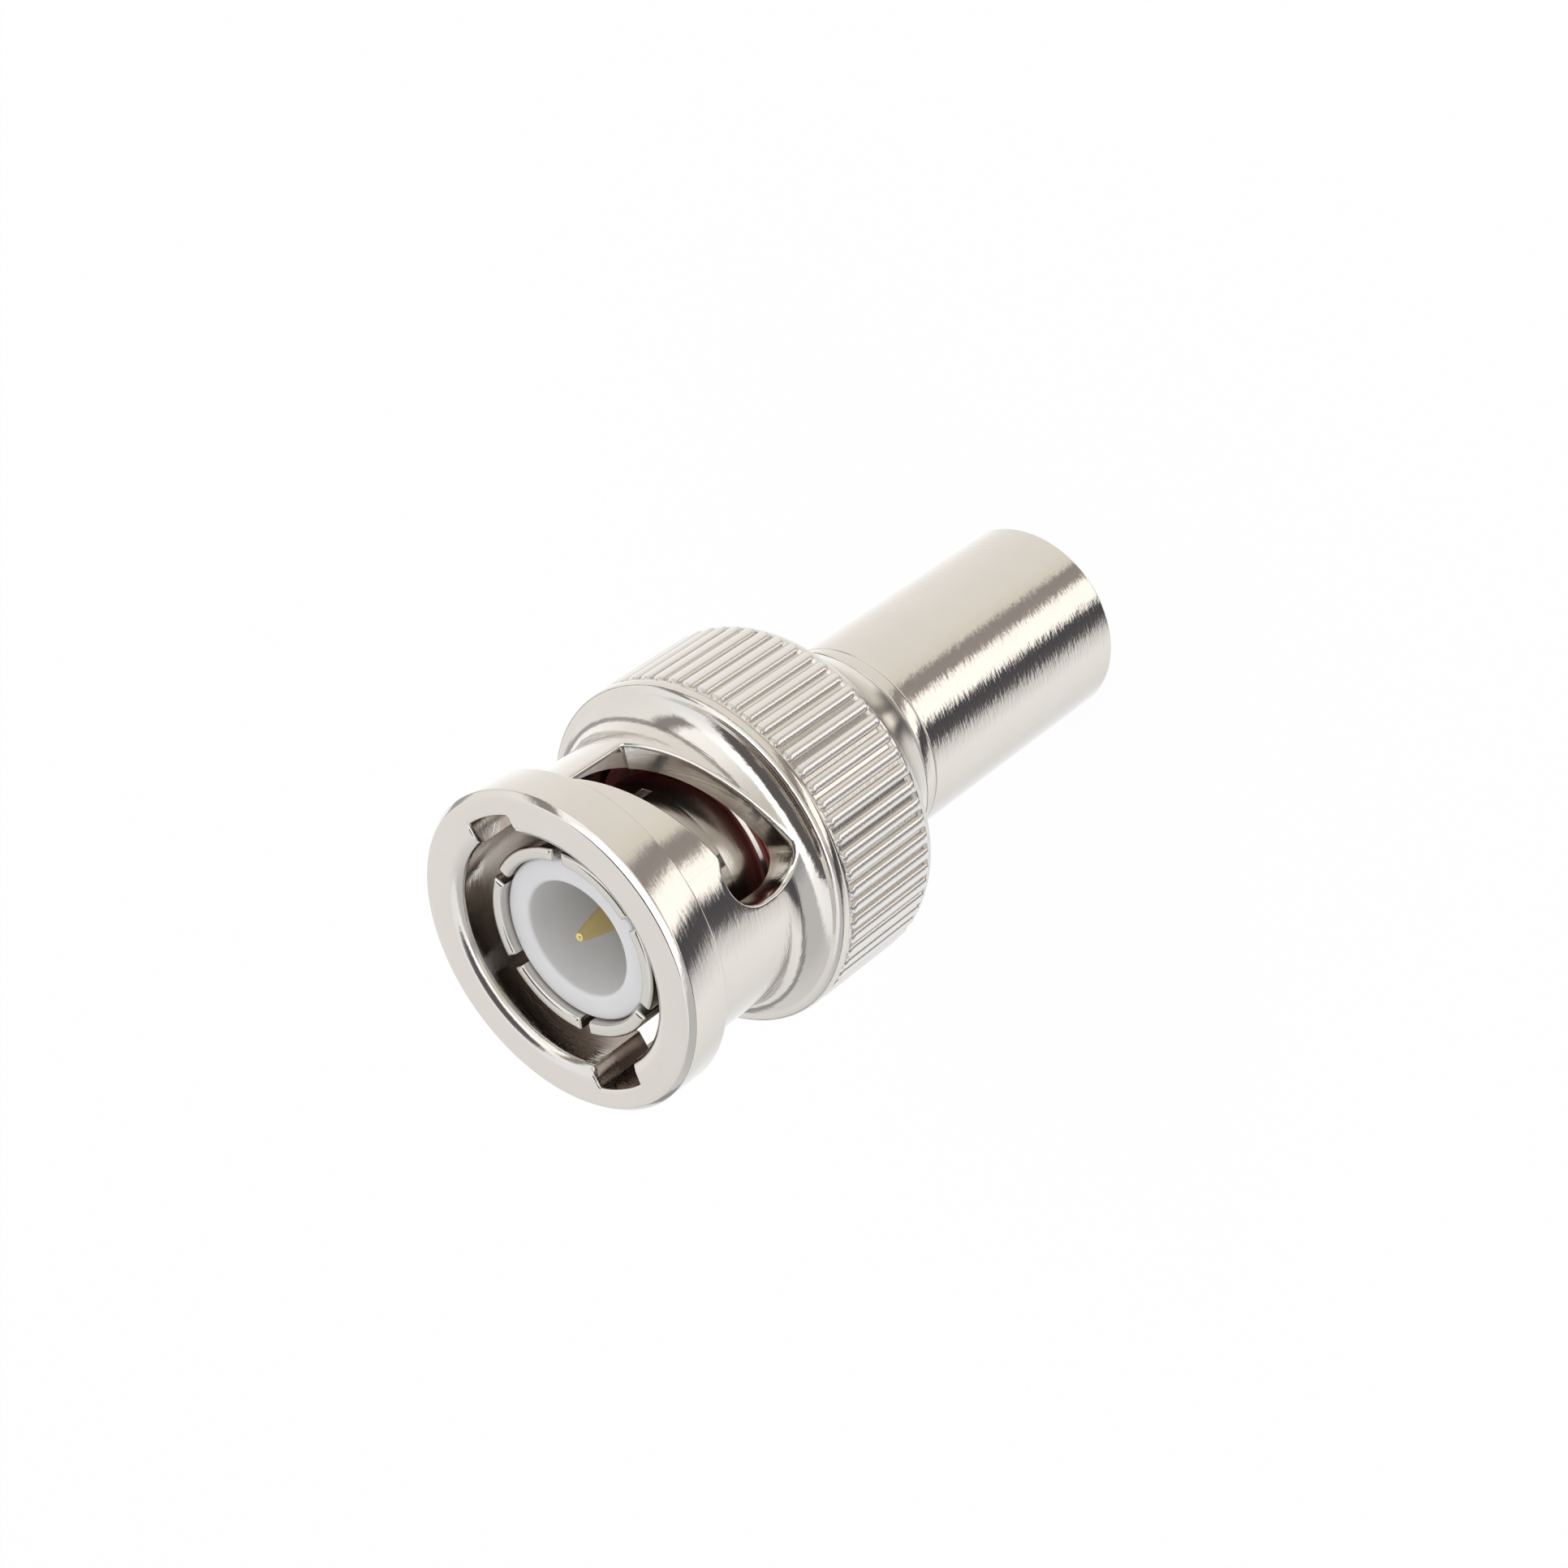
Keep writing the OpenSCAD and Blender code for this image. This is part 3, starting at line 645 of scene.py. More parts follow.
def contact_root_path(s):
    """Section of the contact behind the slits: tail, gasket flange, root and shoulder."""
    bore, root = s.contact_radius - s.contact_wall, s.gasket_front + 0.30
    return rounded([
        (s.tail_bore, s.tail_end, 0.05), (s.tail_radius, s.tail_end, 0.05),
        (s.tail_radius, s.neck_end, 0), (s.flange_radius, s.neck_end, 0.05),
        (s.flange_radius, s.flange_front, 0.05), (s.root_radius, s.flange_front, 0),
        (s.root_radius, root - (s.root_radius - s.contact_radius), 0.03),
        (s.contact_radius, root, 0.05), (s.contact_radius, s.slit_end, 0.03),
        (bore, s.slit_end, 0.03), (bore, s.insulator_step, 0), (s.tail_bore, s.insulator_step, 0)])


def finger(s, first, last, lift):
    """One spring finger between two slits: a rounded sector section carried up to a round tip.

    The section runs along the skin and back along the bore, with quarter circles at its corners.
    Over the tip it shrinks by r (1 - cos a) while it rises by r sin a. The slit's walls stay
    parallel: a point at a distance d from the slit's middle plane lies asin(d / radius) from
    it."""
    bore, skin, edge, tip_edge = s.contact_radius - s.contact_wall, s.contact_radius, 0.06, 0.17
    start, tip = s.slit_end - 0.05, s.tip + lift
    straight = 10
    bend = np.linspace(0.0, np.pi / 2.0, 8)
    levels = np.concatenate([np.linspace(start, tip - tip_edge, straight),
                             tip - tip_edge + tip_edge * np.sin(bend)])[:, None]
    shrink = np.concatenate([np.zeros(straight), tip_edge * (1.0 - np.cos(bend))])[:, None]

    quarter = np.linspace(0.0, np.pi / 2.0, 5)
    share = np.linspace(0.0, 1.0, 26)[1:-1]
    rise, run = edge * np.sin(quarter), edge * np.cos(quarter)
    flat = np.ones(len(share))
    outer = np.concatenate([skin - edge + rise, skin * flat, skin - edge + run])[None] - shrink
    inner = np.concatenate([bore + edge - rise, bore * flat, bore + edge - run])[None] + shrink
    inset = np.concatenate([edge - run, edge * flat, edge - rise])[None]
    along = np.concatenate([np.zeros(5), share, np.ones(5)])

    def face(radius):
        """One face of the finger at every level, between the two slit walls."""
        reach = np.arcsin((s.slit_width / 2.0 + inset + shrink) / radius)
        return around(radius, (first + reach) * (1.0 - along) + (last - reach) * along, levels)

    wrap_out, wrap_in = face(outer), face(inner)
    shell = Shell().grid(np.concatenate([wrap_out, wrap_in[:, ::-1]], 1), (False, True))
    shell.grid(np.stack([wrap_out[-1], wrap_in[-1]]))
    return shell.grid(np.stack([wrap_out[0], wrap_in[0]]))


def outer_contact(s):
    """The contact's root and its six fingers, whose tips end a hair apart."""
    shell = Shell().turned(contact_root_path(s), 192)
    lifts = (0.0, -0.02, 0.015, -0.01, 0.02, -0.015)
    pitch = 360.0 / len(lifts)
    for place, lift in enumerate(lifts):
        first = math.radians(5.0 + pitch * place)
        shell.join(finger(s, first, first + math.radians(pitch), lift))
    return shell


def insulator_path(s):
    """Section of the front insulator: socket, web and the narrow tail round the pin."""
    skin, front = s.contact_radius - s.contact_wall - s.seat, s.insulator
    hole, tail, web = s.pin_radius + s.seat, s.tail_bore - s.seat, s.insulator - 5.2
    return rounded([(hole, s.insulator_rear, 0), (tail, s.insulator_rear, 0),
                    (tail, s.insulator_step, 0), (skin, s.insulator_step, 0),
                    (skin, front, 0.12), (s.socket_radius, front, 0.16),
                    (s.socket_radius, web, 0.15), (hole, web, 0.02)], 6)


def pin_path(s):
    """Section of the centre pin: crimp barrel, flange, shank and the tapered, rounded end."""
    rear, tip, nose_radius, nose_length = s.pin_rear, s.pin_tip, 0.20, 0.12
    bore, barrel_radius, flange_radius = 0.55, 0.95, 1.35
    taper = bow((s.pin_radius, tip - 2.5), (nose_radius, tip - nose_length), -0.04, 14)
    turn = np.linspace(0.15, np.pi / 2.0, 8)[:, None]
    nose = np.concatenate([nose_radius * np.cos(turn),
                           tip - nose_length + nose_length * np.sin(turn)], 1)
    nose[-1, 0] = 0.0
    barrel = rounded([(bore, rear, 0.03), (barrel_radius, rear, 0.05),
                      (barrel_radius, s.pin_flange, 0), (flange_radius, s.pin_flange, 0.05),
                      (flange_radius, s.insulator_rear, 0.05),
                      (s.pin_radius, s.insulator_rear, 0)])
    drilled = [[0.0, rear + 3.2], [bore, rear + 2.93]]
    return np.concatenate([drilled, barrel, taper, nose])


def gasket_path(s):
    """Section of the gasket: a rubber ring with soft edges."""
    rear, front = s.gasket_front - 1.55, s.gasket_front
    inner, outer = s.root_radius + s.seat, s.flange_radius - s.seat
    return rounded([(inner, rear, 0.06), (outer, rear, 0.06), (outer, front, 0.12),
                    (inner, front, 0.10)])


def wave_washer(waves=3, sheet=0.25):
    """The wave washer: a flat strip section carried round, its height a sine of the turn."""
    fixed, free = low("flange_washer").z / MM, high("thrust_washer").z / MM
    inner, outer = 3.76, high("wave_washer").x / MM - 0.01
    path = rounded([(inner, -sheet / 2.0, 0.04), (outer, -sheet / 2.0, 0.04),
                    (outer, sheet / 2.0, 0.04), (inner, sheet / 2.0, 0.04)])
    angle = np.linspace(0.0, 2.0 * np.pi, 144, endpoint=False)[None]
    swing = (fixed - free - sheet) / 2.0 * np.sin(waves * angle)
    return Shell().grid(around(path[:, :1], angle, (fixed + free) / 2.0 + swing + path[:, 1:2]),
                        (True, True))


# ---------------------------------------------------------------- materials

class Field:
    """A number that varies over a surface, so that shader maths reads as an expression."""

    def __init__(self, nodes, socket):
        self.nodes, self.socket = nodes, socket

    def maths(self, operation, *others):
        """One Math node on this number and the others."""
        return self.nodes.add("ShaderNodeMath", {"operation": operation},
                              dict(enumerate((self,) + others)))

    def __add__(self, other):
        return self.maths("ADD", other)

    def __mul__(self, other):
        return self.maths("MULTIPLY", other)

    def __sub__(self, other):
        return self.maths("SUBTRACT", other)

    def __truediv__(self, other):
        return self.maths("DIVIDE", other)

    def __pow__(self, other):
        return self.maths("POWER", other)

    def __rsub__(self, other):
        return self.nodes.add("ShaderNodeMath", {"operation": "SUBTRACT"}, {0: other, 1: self})

    __radd__, __rmul__ = __add__, __mul__

    def clamp(self):
        """The number held between 0 and 1."""
        return self.nodes.add("ShaderNodeClamp", {}, {0: self})

    def step(self, start, end):
        """Smooth step of the value from start to end."""
        return self.nodes.add("ShaderNodeMapRange", {"interpolation_type": "SMOOTHSTEP"},
                              {0: self, 1: start, 2: end, 3: 0.0, 4: 1.0})


class Nodes:
    """A node tree that is filled by expressions."""

    def __init__(self, owner):
        self.owner = owner
        owner.use_nodes = True
        self.tree = owner.node_tree
        self.tree.nodes.clear()

    def add(self, kind, settings=None, inputs=None, output=0):
        """Adds one node: its settings first, then a value or a link for each named socket."""
        node = self.tree.nodes.new(kind)
        for key, value in (settings or {}).items():
            if key == "stops":
                elements = node.color_ramp.elements
                elements.remove(elements[-1])
                for place, (position, colour) in enumerate(value):
                    element = elements[0] if place == 0 else elements.new(position)
                    element.position = position
                    element.color = (*colour, 1.0)
            else:
                setattr(node, key, value)
        for key, value in (inputs or {}).items():
            if isinstance(value, Field):
                self.tree.links.new(value.socket, node.inputs[key])
            else:
                node.inputs[key].default_value = value
        return Field(self, node.outputs[output])

    def axes(self, vector):
        """The three numbers of a vector."""
        split = self.add("ShaderNodeSeparateXYZ", {}, {0: vector}).socket.node
        return [Field(self, socket) for socket in split.outputs]

    def object_position(self):
        """The object position, and its x, y and z."""
        place = self.add("ShaderNodeTexCoord", output="Object")
        return [place] + self.axes(place)

    def noise(self, vector, scale, detail=3.0, roughness=0.5):
        """Three-dimensional noise, 0 to 1."""
        return self.add("ShaderNodeTexNoise", {}, {"Vector": vector, "Scale": scale,
                                                   "Detail": detail, "Roughness": roughness})

    def line_noise(self, value, scale, detail=3.0):
        """Noise along one number, 0 to 1."""
        return self.add("ShaderNodeTexNoise", {"noise_dimensions": "1D"},
                        {"W": value * scale, "Scale": 1.0, "Detail": detail})

    def mix(self, factor, one, two):
        """Colour between two colours."""
        one, two = (value if isinstance(value, Field) else (*value, 1.0) for value in (one, two))
        return self.add("ShaderNodeMix", {"data_type": "RGBA"}, {0: factor, 6: one, 7: two}, 2)

    def bump(self, height, distance):
        """Bump normal from a height field, with the distance in metres."""
        return self.add("ShaderNodeBump", {}, {"Height": height, "Distance": distance,
                                               "Strength": 1.0})

    def surface(self, **sockets):
        """Principled surface from named sockets, wired to the output."""
        names = {key.replace("_", " ").title().replace("Ior", "IOR"): value
                 for key, value in sockets.items()}
        return self.output(self.add("ShaderNodeBsdfPrincipled", {}, names))

    def output(self, shader):
        """Wires a shader to the output, and gives back the material or world."""
        kind = "World" if isinstance(self.owner, bpy.types.World) else "Material"
        out = self.tree.nodes.new(f"ShaderNodeOutput{kind}")
        self.tree.links.new(shader.socket, out.inputs[0])
        return self.owner


def colour(name):
    """A colour property of the finishes as a tuple."""
    return tuple(getattr(bpy.context.scene.plug_finishes, name))


def turned_marks(n, x, y, z):
    """Turning marks: noise along radius plus height, so that they ring cylinders and faces.

    Gives the wide marks and the fine ones, whose scales count to the millimetre."""
    path = ((x * x + y * y) ** 0.5 + z) * (1.0 / MM)
    wide_marks, fine_marks = 9.0, 46.0
    return n.line_noise(path, wide_marks, 2.0), n.line_noise(path, fine_marks, 2.0)


def nickel_material(name, marks=1.0, dull=0.0, fray=1.5):
    """Bright nickel plate with turning marks, faint handling haze and fine plating grain.

    The groove level gives the knurl satin ridges with a painted highlight on their crowns and
    painted shade on their flanks, and paints darker, browner shade on the walls of the bore and
    slots. Fray is the height of the short marks, drawn out round the axis, that break up the edges
    of reflections."""
    polish = bpy.context.scene.plug_finishes.polish
    n = Nodes(bpy.data.materials.new(name))
    place, x, y, z = n.object_position()
    wide, fine = turned_marks(n, x, y, z)
    haze = n.noise(place, 420.0, 4.0, 0.6)
    grain = n.noise(place, 9000.0, 2.0, 0.5)
    smear = n.noise(place, 1500.0, 3.0, 0.6)
    drawn = n.add("ShaderNodeCombineXYZ", {}, {0: x, 1: y, 2: z * 3.0})
    frayed = n.noise(drawn, 1900.0, 2.0, 0.55)
    groove = n.add("ShaderNodeAttribute", {"attribute_name": "groove"}, output="Fac")
    worn = (haze * 1.6 - 0.35 + fine * 0.25).clamp()
    satin = (groove * -1.6).clamp()
    flank_shade = groove.step(-0.92, -0.75) * (1.0 - groove.step(-0.60, -0.42))
    milled = groove.step(0.8, 1.8)

    tone = n.mix(worn * 0.35 + dull, colour("nickel"), colour("nickel_dull"))
    # painted shade on the walls of the slots and the bore, where the groove level is above 0
    tone = n.mix((groove * 0.45).clamp(), tone, colour("tarnish"))
    # painted highlight on the crowns of the knurl's ridges
    tone = n.mix(groove.step(-0.2, -0.9) * 0.7, tone, colour("rubbed"))
    # painted shade on the flanks of the knurl's ridges
    tone = n.mix(flank_shade * 0.30, tone, colour("tarnish"))
    # painted shade, brown, on the walls of the slots and the bore
    tone = n.mix(milled * 0.9, tone, colour("milled"))
    rough = (haze - 0.5) * 0.05 + fine * 0.04 * marks + smear * 0.03 + milled * 0.33 \
        + satin * 0.20 + (polish - 0.03 + dull * 0.15)
    height = (fine * 0.25 * marks + wide * 0.60 * marks + grain * 0.22 + frayed * fray) \
        * (1.0 - milled * 0.85)
    return n.surface(base_color=tone, metallic=1.0, roughness=rough.clamp(),
                     normal=n.bump(height, 0.0000045))


def insulator_material(name):
    """White fluoropolymer: waxy, slightly translucent, with faint turning marks."""
    n = Nodes(bpy.data.materials.new(name))
    place, x, y, z = n.object_position()
    fine = turned_marks(n, x, y, z)[1]
    cloud = n.noise(place, 700.0, 3.0, 0.55)
    tone = n.mix((cloud * 1.4 - 0.3).clamp(), colour("insulator"), colour("insulator_cloud"))
    return n.surface(base_color=tone, roughness=cloud * 0.12 + 0.30, specular_ior_level=0.45,
                     subsurface_weight=0.35, subsurface_scale=0.0008,
                     subsurface_radius=(1.0, 1.0, 1.0),
                     normal=n.bump(fine * 0.6 + cloud * 0.5, 0.000006))


def gasket_material(name):
    """Dark red silicone with moulding grain and a trace of dust."""
    n = Nodes(bpy.data.materials.new(name))
    place = n.object_position()[0]
    grain = n.noise(place, 5200.0, 3.0, 0.6)
    cloud = n.noise(place, 900.0, 3.0, 0.55)
    tone = n.mix((cloud * 1.5 - 0.3).clamp() * 0.6, colour("gasket"), colour("gasket_dust"))
    return n.surface(base_color=tone, roughness=grain * 0.18 + 0.38, specular_ior_level=0.45,
                     normal=n.bump(grain * 0.7 + cloud * 0.5, 0.00001))


def spring_material(name):
    """Rolled spring strip: fine straight grain and a satin polish."""
    n = Nodes(bpy.data.materials.new(name))
    place, x, y, z = n.object_position()
    streak = n.line_noise(x * (1.0 / MM), 22.0)
    cloud = n.noise(place, 800.0, 3.0, 0.55)
    tone = n.mix(cloud * 0.6, colour("spring"), colour("spring_dull"))
    return n.surface(base_color=tone, metallic=1.0,
                     roughness=streak * 0.14 + cloud * 0.08 + 0.20,
                     normal=n.bump(streak, 0.000004))


# ---------------------------------------------------------------- stage

# Panels of the surroundings as (degrees round the horizon, red, green, blue)
BELOW_HORIZON = [
    (-180, 1.20, 1.25, 1.32), (-150, 0.98, 1.03, 1.08), (-115, 0.90, 0.94, 0.97),
    (-88, 1.03, 1.07, 1.10), (-66, 1.10, 1.14, 1.18), (-52, 0.92, 0.95, 0.98),
    (-44, 0.70, 0.71, 0.74), (-37, 0.12, 0.12, 0.13), (-16, 0.08, 0.08, 0.10),
    (-10, 1.55, 1.55, 1.55), (13, 1.50, 1.50, 1.48), (19, 0.40, 0.37, 0.36),
    (34, 0.36, 0.34, 0.34), (41, 0.90, 0.88, 0.82), (55, 0.96, 0.96, 0.93),
    (95, 1.00, 1.00, 1.00), (135, 1.04, 1.07, 1.08), (165, 1.20, 1.24, 1.28),
    (180, 1.20, 1.25, 1.32)]
ABOVE_HORIZON = [
    (-180, 1.05, 1.04, 1.03), (-120, 0.80, 0.80, 0.80), (-95, 0.66, 0.67, 0.68),
    (-45, 0.66, 0.66, 0.67), (-30, 0.42, 0.41, 0.42), (-16, 0.86, 0.85, 0.82),
    (15, 0.76, 0.74, 0.66), (35, 0.95, 0.95, 0.92), (60, 1.25, 1.25, 1.22),
    (90, 1.35, 1.35, 1.33), (99, 0.35, 0.32, 0.30), (109, 0.35, 0.33, 0.32),
    (117, 1.10, 1.10, 1.08), (150, 1.04, 1.04, 1.02), (180, 1.05, 1.04, 1.03)]
CEILING = [
    (-180, 1.08, 1.11, 1.15), (-110, 1.08, 1.11, 1.15), (-60, 1.30, 1.30, 1.30),
    (-30, 1.90, 1.90, 1.90), (60, 1.90, 1.90, 1.90), (100, 1.30, 1.30, 1.30),
    (135, 1.08, 1.11, 1.15), (180, 1.08, 1.11, 1.15)]
LINE_TONE, ZENITH_TONE, NADIR_TONE = (0.10, 0.09, 0.09), (0.14, 0.13, 0.13), (0.20, 0.19, 0.19)
WHITE = (1.0, 1.0, 1.0)
PANEL_LEAN = 0.09       # lean of the panels' edges, in turns for each unit of height
LEAN_START = -0.6355    # height of the direction at which the lean is nil

# Lamps as (name, azimuth, elevation, size in metres, power in watts)
LAMPS = (("key", 60.0, 55.0, 0.30, 0.35), ("fill", -70.0, 35.0, 0.35, 0.15))


def direction(azimuth, elevation):
    """Unit vector to a direction given by two angles in radians."""
    return Vector((math.cos(elevation) * math.cos(azimuth),
                   math.cos(elevation) * math.sin(azimuth), math.sin(elevation)))


def surroundings(level):
    """Studio surroundings: ramps of pale and dark panels round the horizon and a bright ceiling.

    The colour is read off one ramp below the horizon, one above it and one for the ceiling, which
    fade into each other by height. Below the horizon the panels' edges lean, so that turning
    marks fray their reflections. A dark line runs along the horizon, and the points straight
    overhead and underfoot are dark."""
    world = bpy.data.worlds.new("studio")
    bpy.context.scene.world = world
    n = Nodes(world)
    x, y, z = n.axes(n.add("ShaderNodeTexCoord", output="Generated"))
    azimuth = y.maths("ARCTAN2", x) / (2.0 * math.pi) + 0.5
    slanted = azimuth + (z - LEAN_START) * PANEL_LEAN

    def ramp(stops, way, tone=WHITE):
        """Colour read off a ramp round the horizon, times a tone."""
        listed = [((degrees + 180.0) / 360.0, (r * tone[0], g * tone[1], b * tone[2]))
                  for degrees, r, g, b in stops]
        return n.add("ShaderNodeValToRGB", {"stops": listed}, {0: way})

    below = ramp(BELOW_HORIZON, slanted, (1.011, 0.974, 0.934))
    above = ramp(ABOVE_HORIZON, azimuth)
    sky = n.mix(z.step(-0.10, 0.12), below, above)
    sky = n.mix(z.step(0.66, 0.76), sky, ramp(CEILING, azimuth))
    line = z.step(-0.14, -0.06) * (1.0 - z.step(0.04, 0.12))
    sky = n.mix(line * 0.65, sky, LINE_TONE)
    sky = n.mix(z.step(0.87, 0.92), sky, ZENITH_TONE)
    sky = n.mix((z * -1.0).step(0.970, 0.990), sky, NADIR_TONE)
    seen = n.mix(n.add("ShaderNodeLightPath", output="Is Camera Ray"), sky, WHITE)
    n.output(n.add("ShaderNodeBackground", {}, {"Color": seen, "Strength": level}))


def floor_material(name):
    """Pale floor that stays near white to the camera and keeps a soft shadow."""
    n = Nodes(bpy.data.materials.new(name))
    mottle = n.noise(n.object_position()[0], 60.0, 2.0, 0.5)
    base = tuple(bpy.context.scene.plug_studio.floor_colour)
    tone = n.mix(mottle * 0.1, base, tuple(0.97 * part for part in base))
    matt = n.add("ShaderNodeBsdfDiffuse", {}, {"Color": tone})
    glow = n.add("ShaderNodeEmission", {}, {"Color": (*WHITE, 1.0), "Strength": 1.0})
    camera, glossy, through = (n.add("ShaderNodeLightPath", output=f"Is {ray} Ray")
                               for ray in ("Camera", "Glossy", "Transmission"))
    seen = (camera + glossy + through).clamp() * 0.96
    return n.output(n.add("ShaderNodeMixShader", {}, {0: seen, 1: matt, 2: glow}))


def floor_disc(radius=0.9, gap=0.00003):
    """A flat round floor just under the plug: rings of points that widen by even ratios."""
    angle = np.linspace(0.0, 2.0 * np.pi, 96, endpoint=False)[None]
    rings = np.concatenate([[0.0], np.geomspace(0.004, radius, 12)])[:, None]
    points = around(rings, angle, -gap).reshape(-1, 3)
    rows, columns = rings.shape[0], angle.shape[1]
    i, j = np.arange(rows - 1)[:, None], np.arange(columns)[None]
    right = (j + 1) % columns
    quads = np.stack(np.broadcast_arrays(i * columns + j, (i + 1) * columns + j,
                                         (i + 1) * columns + right, i * columns + right), -1)
    mesh = bpy.data.meshes.new("floor")
    mesh.from_pydata(points.tolist(), [], quads.reshape(-1, 4).tolist())
    work = bmesh.new()
    work.from_mesh(mesh)
    bmesh.ops.remove_doubles(work, verts=work.verts, dist=1e-6)
    work.to_mesh(mesh)
    work.free()
    mesh.materials.append(floor_material("studio_floor"))
    floor = bpy.data.objects.new("floor", mesh)
    bpy.context.scene.collection.objects.link(floor)
    floor.visible_glossy = False


def panel_light(name, azimuth, elevation, size, power, away=0.5, height=0.015):
    """A soft square lamp that faces the plug's middle from a direction in degrees."""
    lamp = bpy.data.lights.new(name, "AREA")
    lamp.shape, lamp.size, lamp.energy = "SQUARE", size, power
    way = direction(math.radians(azimuth), math.radians(elevation))
    holder = bpy.data.objects.new(name, lamp)
    holder.location = way * away + Vector((0.0, 0.0, height))
    holder.rotation_euler = way.to_track_quat("Z", "Y").to_euler()
    holder.visible_glossy = False
    bpy.context.scene.collection.objects.link(holder)


def place_camera(studio):
    """Camera on a ray from the aim point at the azimuth and elevation, rolled about that ray."""
    back = direction(studio.azimuth, studio.elevation)
    side = Vector((-math.sin(studio.azimuth), math.cos(studio.azimuth), 0.0))
    up = math.cos(studio.roll) * back.cross(side) + math.sin(studio.roll) * side
    right = up.cross(back)
    aim = Vector((0.0, studio.aim_side, studio.aim_height))
    data = bpy.data.cameras.new("camera")
    data.lens, data.sensor_width, data.clip_start, data.clip_end = studio.focal, 36.0, 0.001, 20.0
    camera = bpy.data.objects.new("camera", data)
    camera.matrix_world = Matrix.LocRotScale(
        aim + back * studio.distance, Matrix((right, up, back)).transposed(), None)
    bpy.context.scene.collection.objects.link(camera)
    bpy.context.scene.camera = camera


# ---------------------------------------------------------------- operators

def dress(node, finish):
    """Gives a finish to a CAD node that isn't drawn again."""
    slots = frame["nodes"][node].data.materials
    slots.clear()
    slots.append(finish)


class PLUG_OT_stage(bpy.types.Operator):
    """Sets up the camera, the floor and the studio light"""
    bl_idname = "plug.stage"
    bl_label = "Studio stage"

    def execute(self, context):
        studio = context.scene.plug_studio
        place_camera(studio)
        surroundings(studio.light)
        floor_disc()
        for lamp in LAMPS:
            panel_light(*lamp)
        context.scene.view_settings.view_transform = "Standard"
        return {"FINISHED"}


class PLUG_OT_coupling_nut(bpy.types.Operator):
    """Builds the knurled grip and the slotted barrel of the coupling nut"""
    bl_idname = "plug.coupling_nut"
    bl_label = "Coupling nut"

    def execute(self, context):
        s = sizes()
        plate = nickel_material("nickel_nut")
        knurled_grip(s).finish("nut_grip", plate, "nut", ["coupling_nut"], "nickel", 42.0)
        slotted_barrel(s).finish("nut_barrel", plate, "nut", ["coupling_nut"], "nickel", 38.0)
        return {"FINISHED"}


class PLUG_OT_sleeve_and_body(bpy.types.Operator):
    """Builds the crimp sleeve and the rear body behind the nut"""
    bl_idname = "plug.sleeve_and_body"
    bl_label = "Sleeve and rear body"

    def execute(self, context):
        s = sizes()
        plate = nickel_material("nickel_sleeve", marks=0.8, fray=3.2)
        Shell().turned(sleeve_path(s)).finish("sleeve_tube", plate, "plug", ["crimp_sleeve"],
                                              "nickel_body")
        Shell().turned(body_path(s)).finish("rear_turning", plate, "plug", ["rear_body"],
                                            "nickel_body")
        return {"FINISHED"}


class PLUG_OT_outer_contact(bpy.types.Operator):
    """Builds the outer contact's root and its six spring fingers"""
    bl_idname = "plug.outer_contact"
    bl_label = "Outer contact"

    def execute(self, context):
        plate = nickel_material("nickel_contact", marks=0.7, dull=0.8, fray=0.6)
        outer_contact(sizes()).finish("contact_fingers", plate, "plug", ["outer_contact"],
                                      "contact_plate")
        return {"FINISHED"}


class PLUG_OT_insulators(bpy.types.Operator):
    """Builds the front insulator and finishes the rear one"""
    bl_idname = "plug.insulators"
    bl_label = "Insulators"

    def execute(self, context):
        white = insulator_material("insulator_white")
        Shell().turned(insulator_path(sizes()), 192).finish(
            "socket_insulator", white, "plug", ["front_insulator"], "insulator")
        dress("rear_insulator", white)
        return {"FINISHED"}


class PLUG_OT_pin(bpy.types.Operator):
    """Builds the gold-plated centre pin, in the plain gold of the CAD node that it replaces"""
    bl_idname = "plug.pin"
    bl_label = "Centre pin"

    def execute(self, context):
        gold = frame["nodes"]["centre_pin"].data.materials[0]
        Shell().turned(pin_path(sizes()), 96).finish("contact_pin", gold, "plug",
                                                     ["centre_pin"], "pin_gold")
        return {"FINISHED"}


class PLUG_OT_gasket(bpy.types.Operator):
    """Builds the silicone gasket on the contact's flange"""
    bl_idname = "plug.gasket"
    bl_label = "Gasket"

    def execute(self, context):
        Shell().turned(gasket_path(sizes()), 192).finish(
            "gasket_ring", gasket_material("gasket_silicone"), "plug", ["gasket"], "gasket")
        return {"FINISHED"}


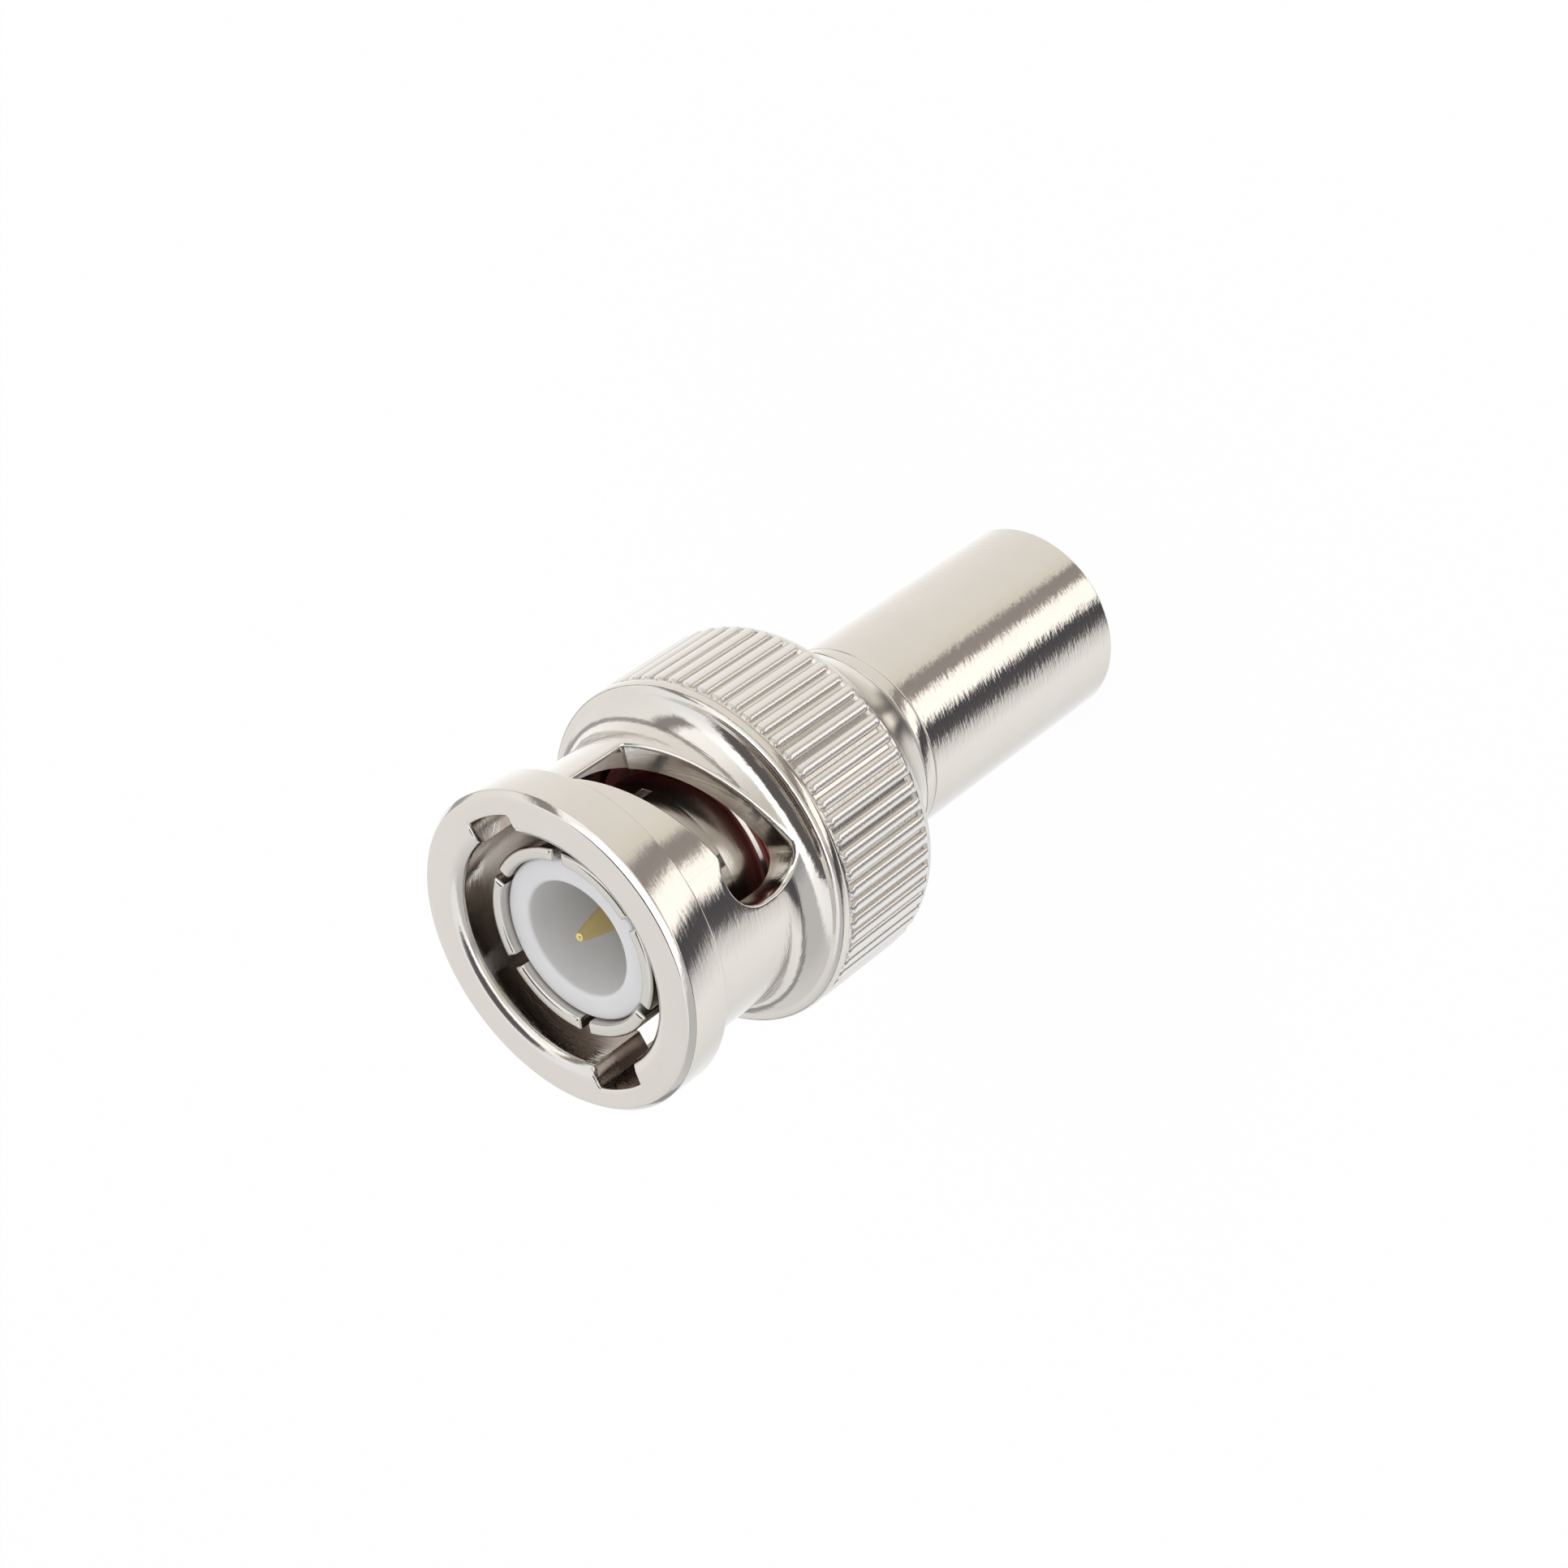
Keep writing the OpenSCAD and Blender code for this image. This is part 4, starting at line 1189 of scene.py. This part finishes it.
class PLUG_OT_washers(bpy.types.Operator):
    """Finishes the flat washers and builds the wave washer"""
    bl_idname = "plug.washers"
    bl_label = "Washers and spring"

    def execute(self, context):
        strip = spring_material("spring_strip")
        for node in ("flange_washer", "thrust_washer"):
            dress(node, strip)
        fixed, free = low("flange_washer").z, high("thrust_washer").z
        draw = next(j["range_m"][1] for j in frame["joints"] if j["name"] == "nut_draw")
        wave = wave_washer().finish("wave_spring", strip, "plug", ["wave_washer"],
                                    "spring_steel")
        (fixed - free - draw) / (fixed - free)
        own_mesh(wave)
        return {"FINISHED"}


class PLUG_PT_panel(bpy.types.Panel):
    """Sidebar panel with the plug's settings and pieces"""
    bl_idname = "PLUG_PT_panel"
    bl_label = "Bayonet cable plug"
    bl_space_type = "VIEW_3D"
    bl_region_type = "UI"
    bl_category = "Plug"

    def draw(self, context):
        for operator in OPERATORS:
            self.layout.operator(operator.bl_idname)
        for name, kind in GROUPS.items():
            box = self.layout.box()
            for key in kind.__annotations__:
                box.prop(getattr(context.scene, name), key)


OPERATORS = (PLUG_OT_stage, PLUG_OT_coupling_nut, PLUG_OT_sleeve_and_body, PLUG_OT_outer_contact,
             PLUG_OT_insulators, PLUG_OT_pin, PLUG_OT_gasket, PLUG_OT_washers)
GROUPS = {"plug_sizes": PlugSizes, "plug_finishes": PlugFinishes, "plug_studio": PlugStudio}


def register():
    for kind in (*GROUPS.values(), *OPERATORS, PLUG_PT_panel):
        bpy.utils.register_class(kind)
    for name, kind in GROUPS.items():
        setattr(bpy.types.Scene, name, PointerProperty(type=kind))


def unregister():
    for name in GROUPS:
        delattr(bpy.types.Scene, name)
    for kind in (PLUG_PT_panel, *reversed(OPERATORS), *reversed(GROUPS.values())):
        bpy.utils.unregister_class(kind)


def main():
    """Registers the classes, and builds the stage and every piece."""
    register()
    bpy.ops.plug.stage()
    bpy.ops.plug.coupling_nut()
    bpy.ops.plug.sleeve_and_body()
    bpy.ops.plug.outer_contact()
    bpy.ops.plug.insulators()
    bpy.ops.plug.pin()
    bpy.ops.plug.gasket()
    bpy.ops.plug.washers()
    bpy.context.view_layer.update()


if __name__ == "__main__":
    main()
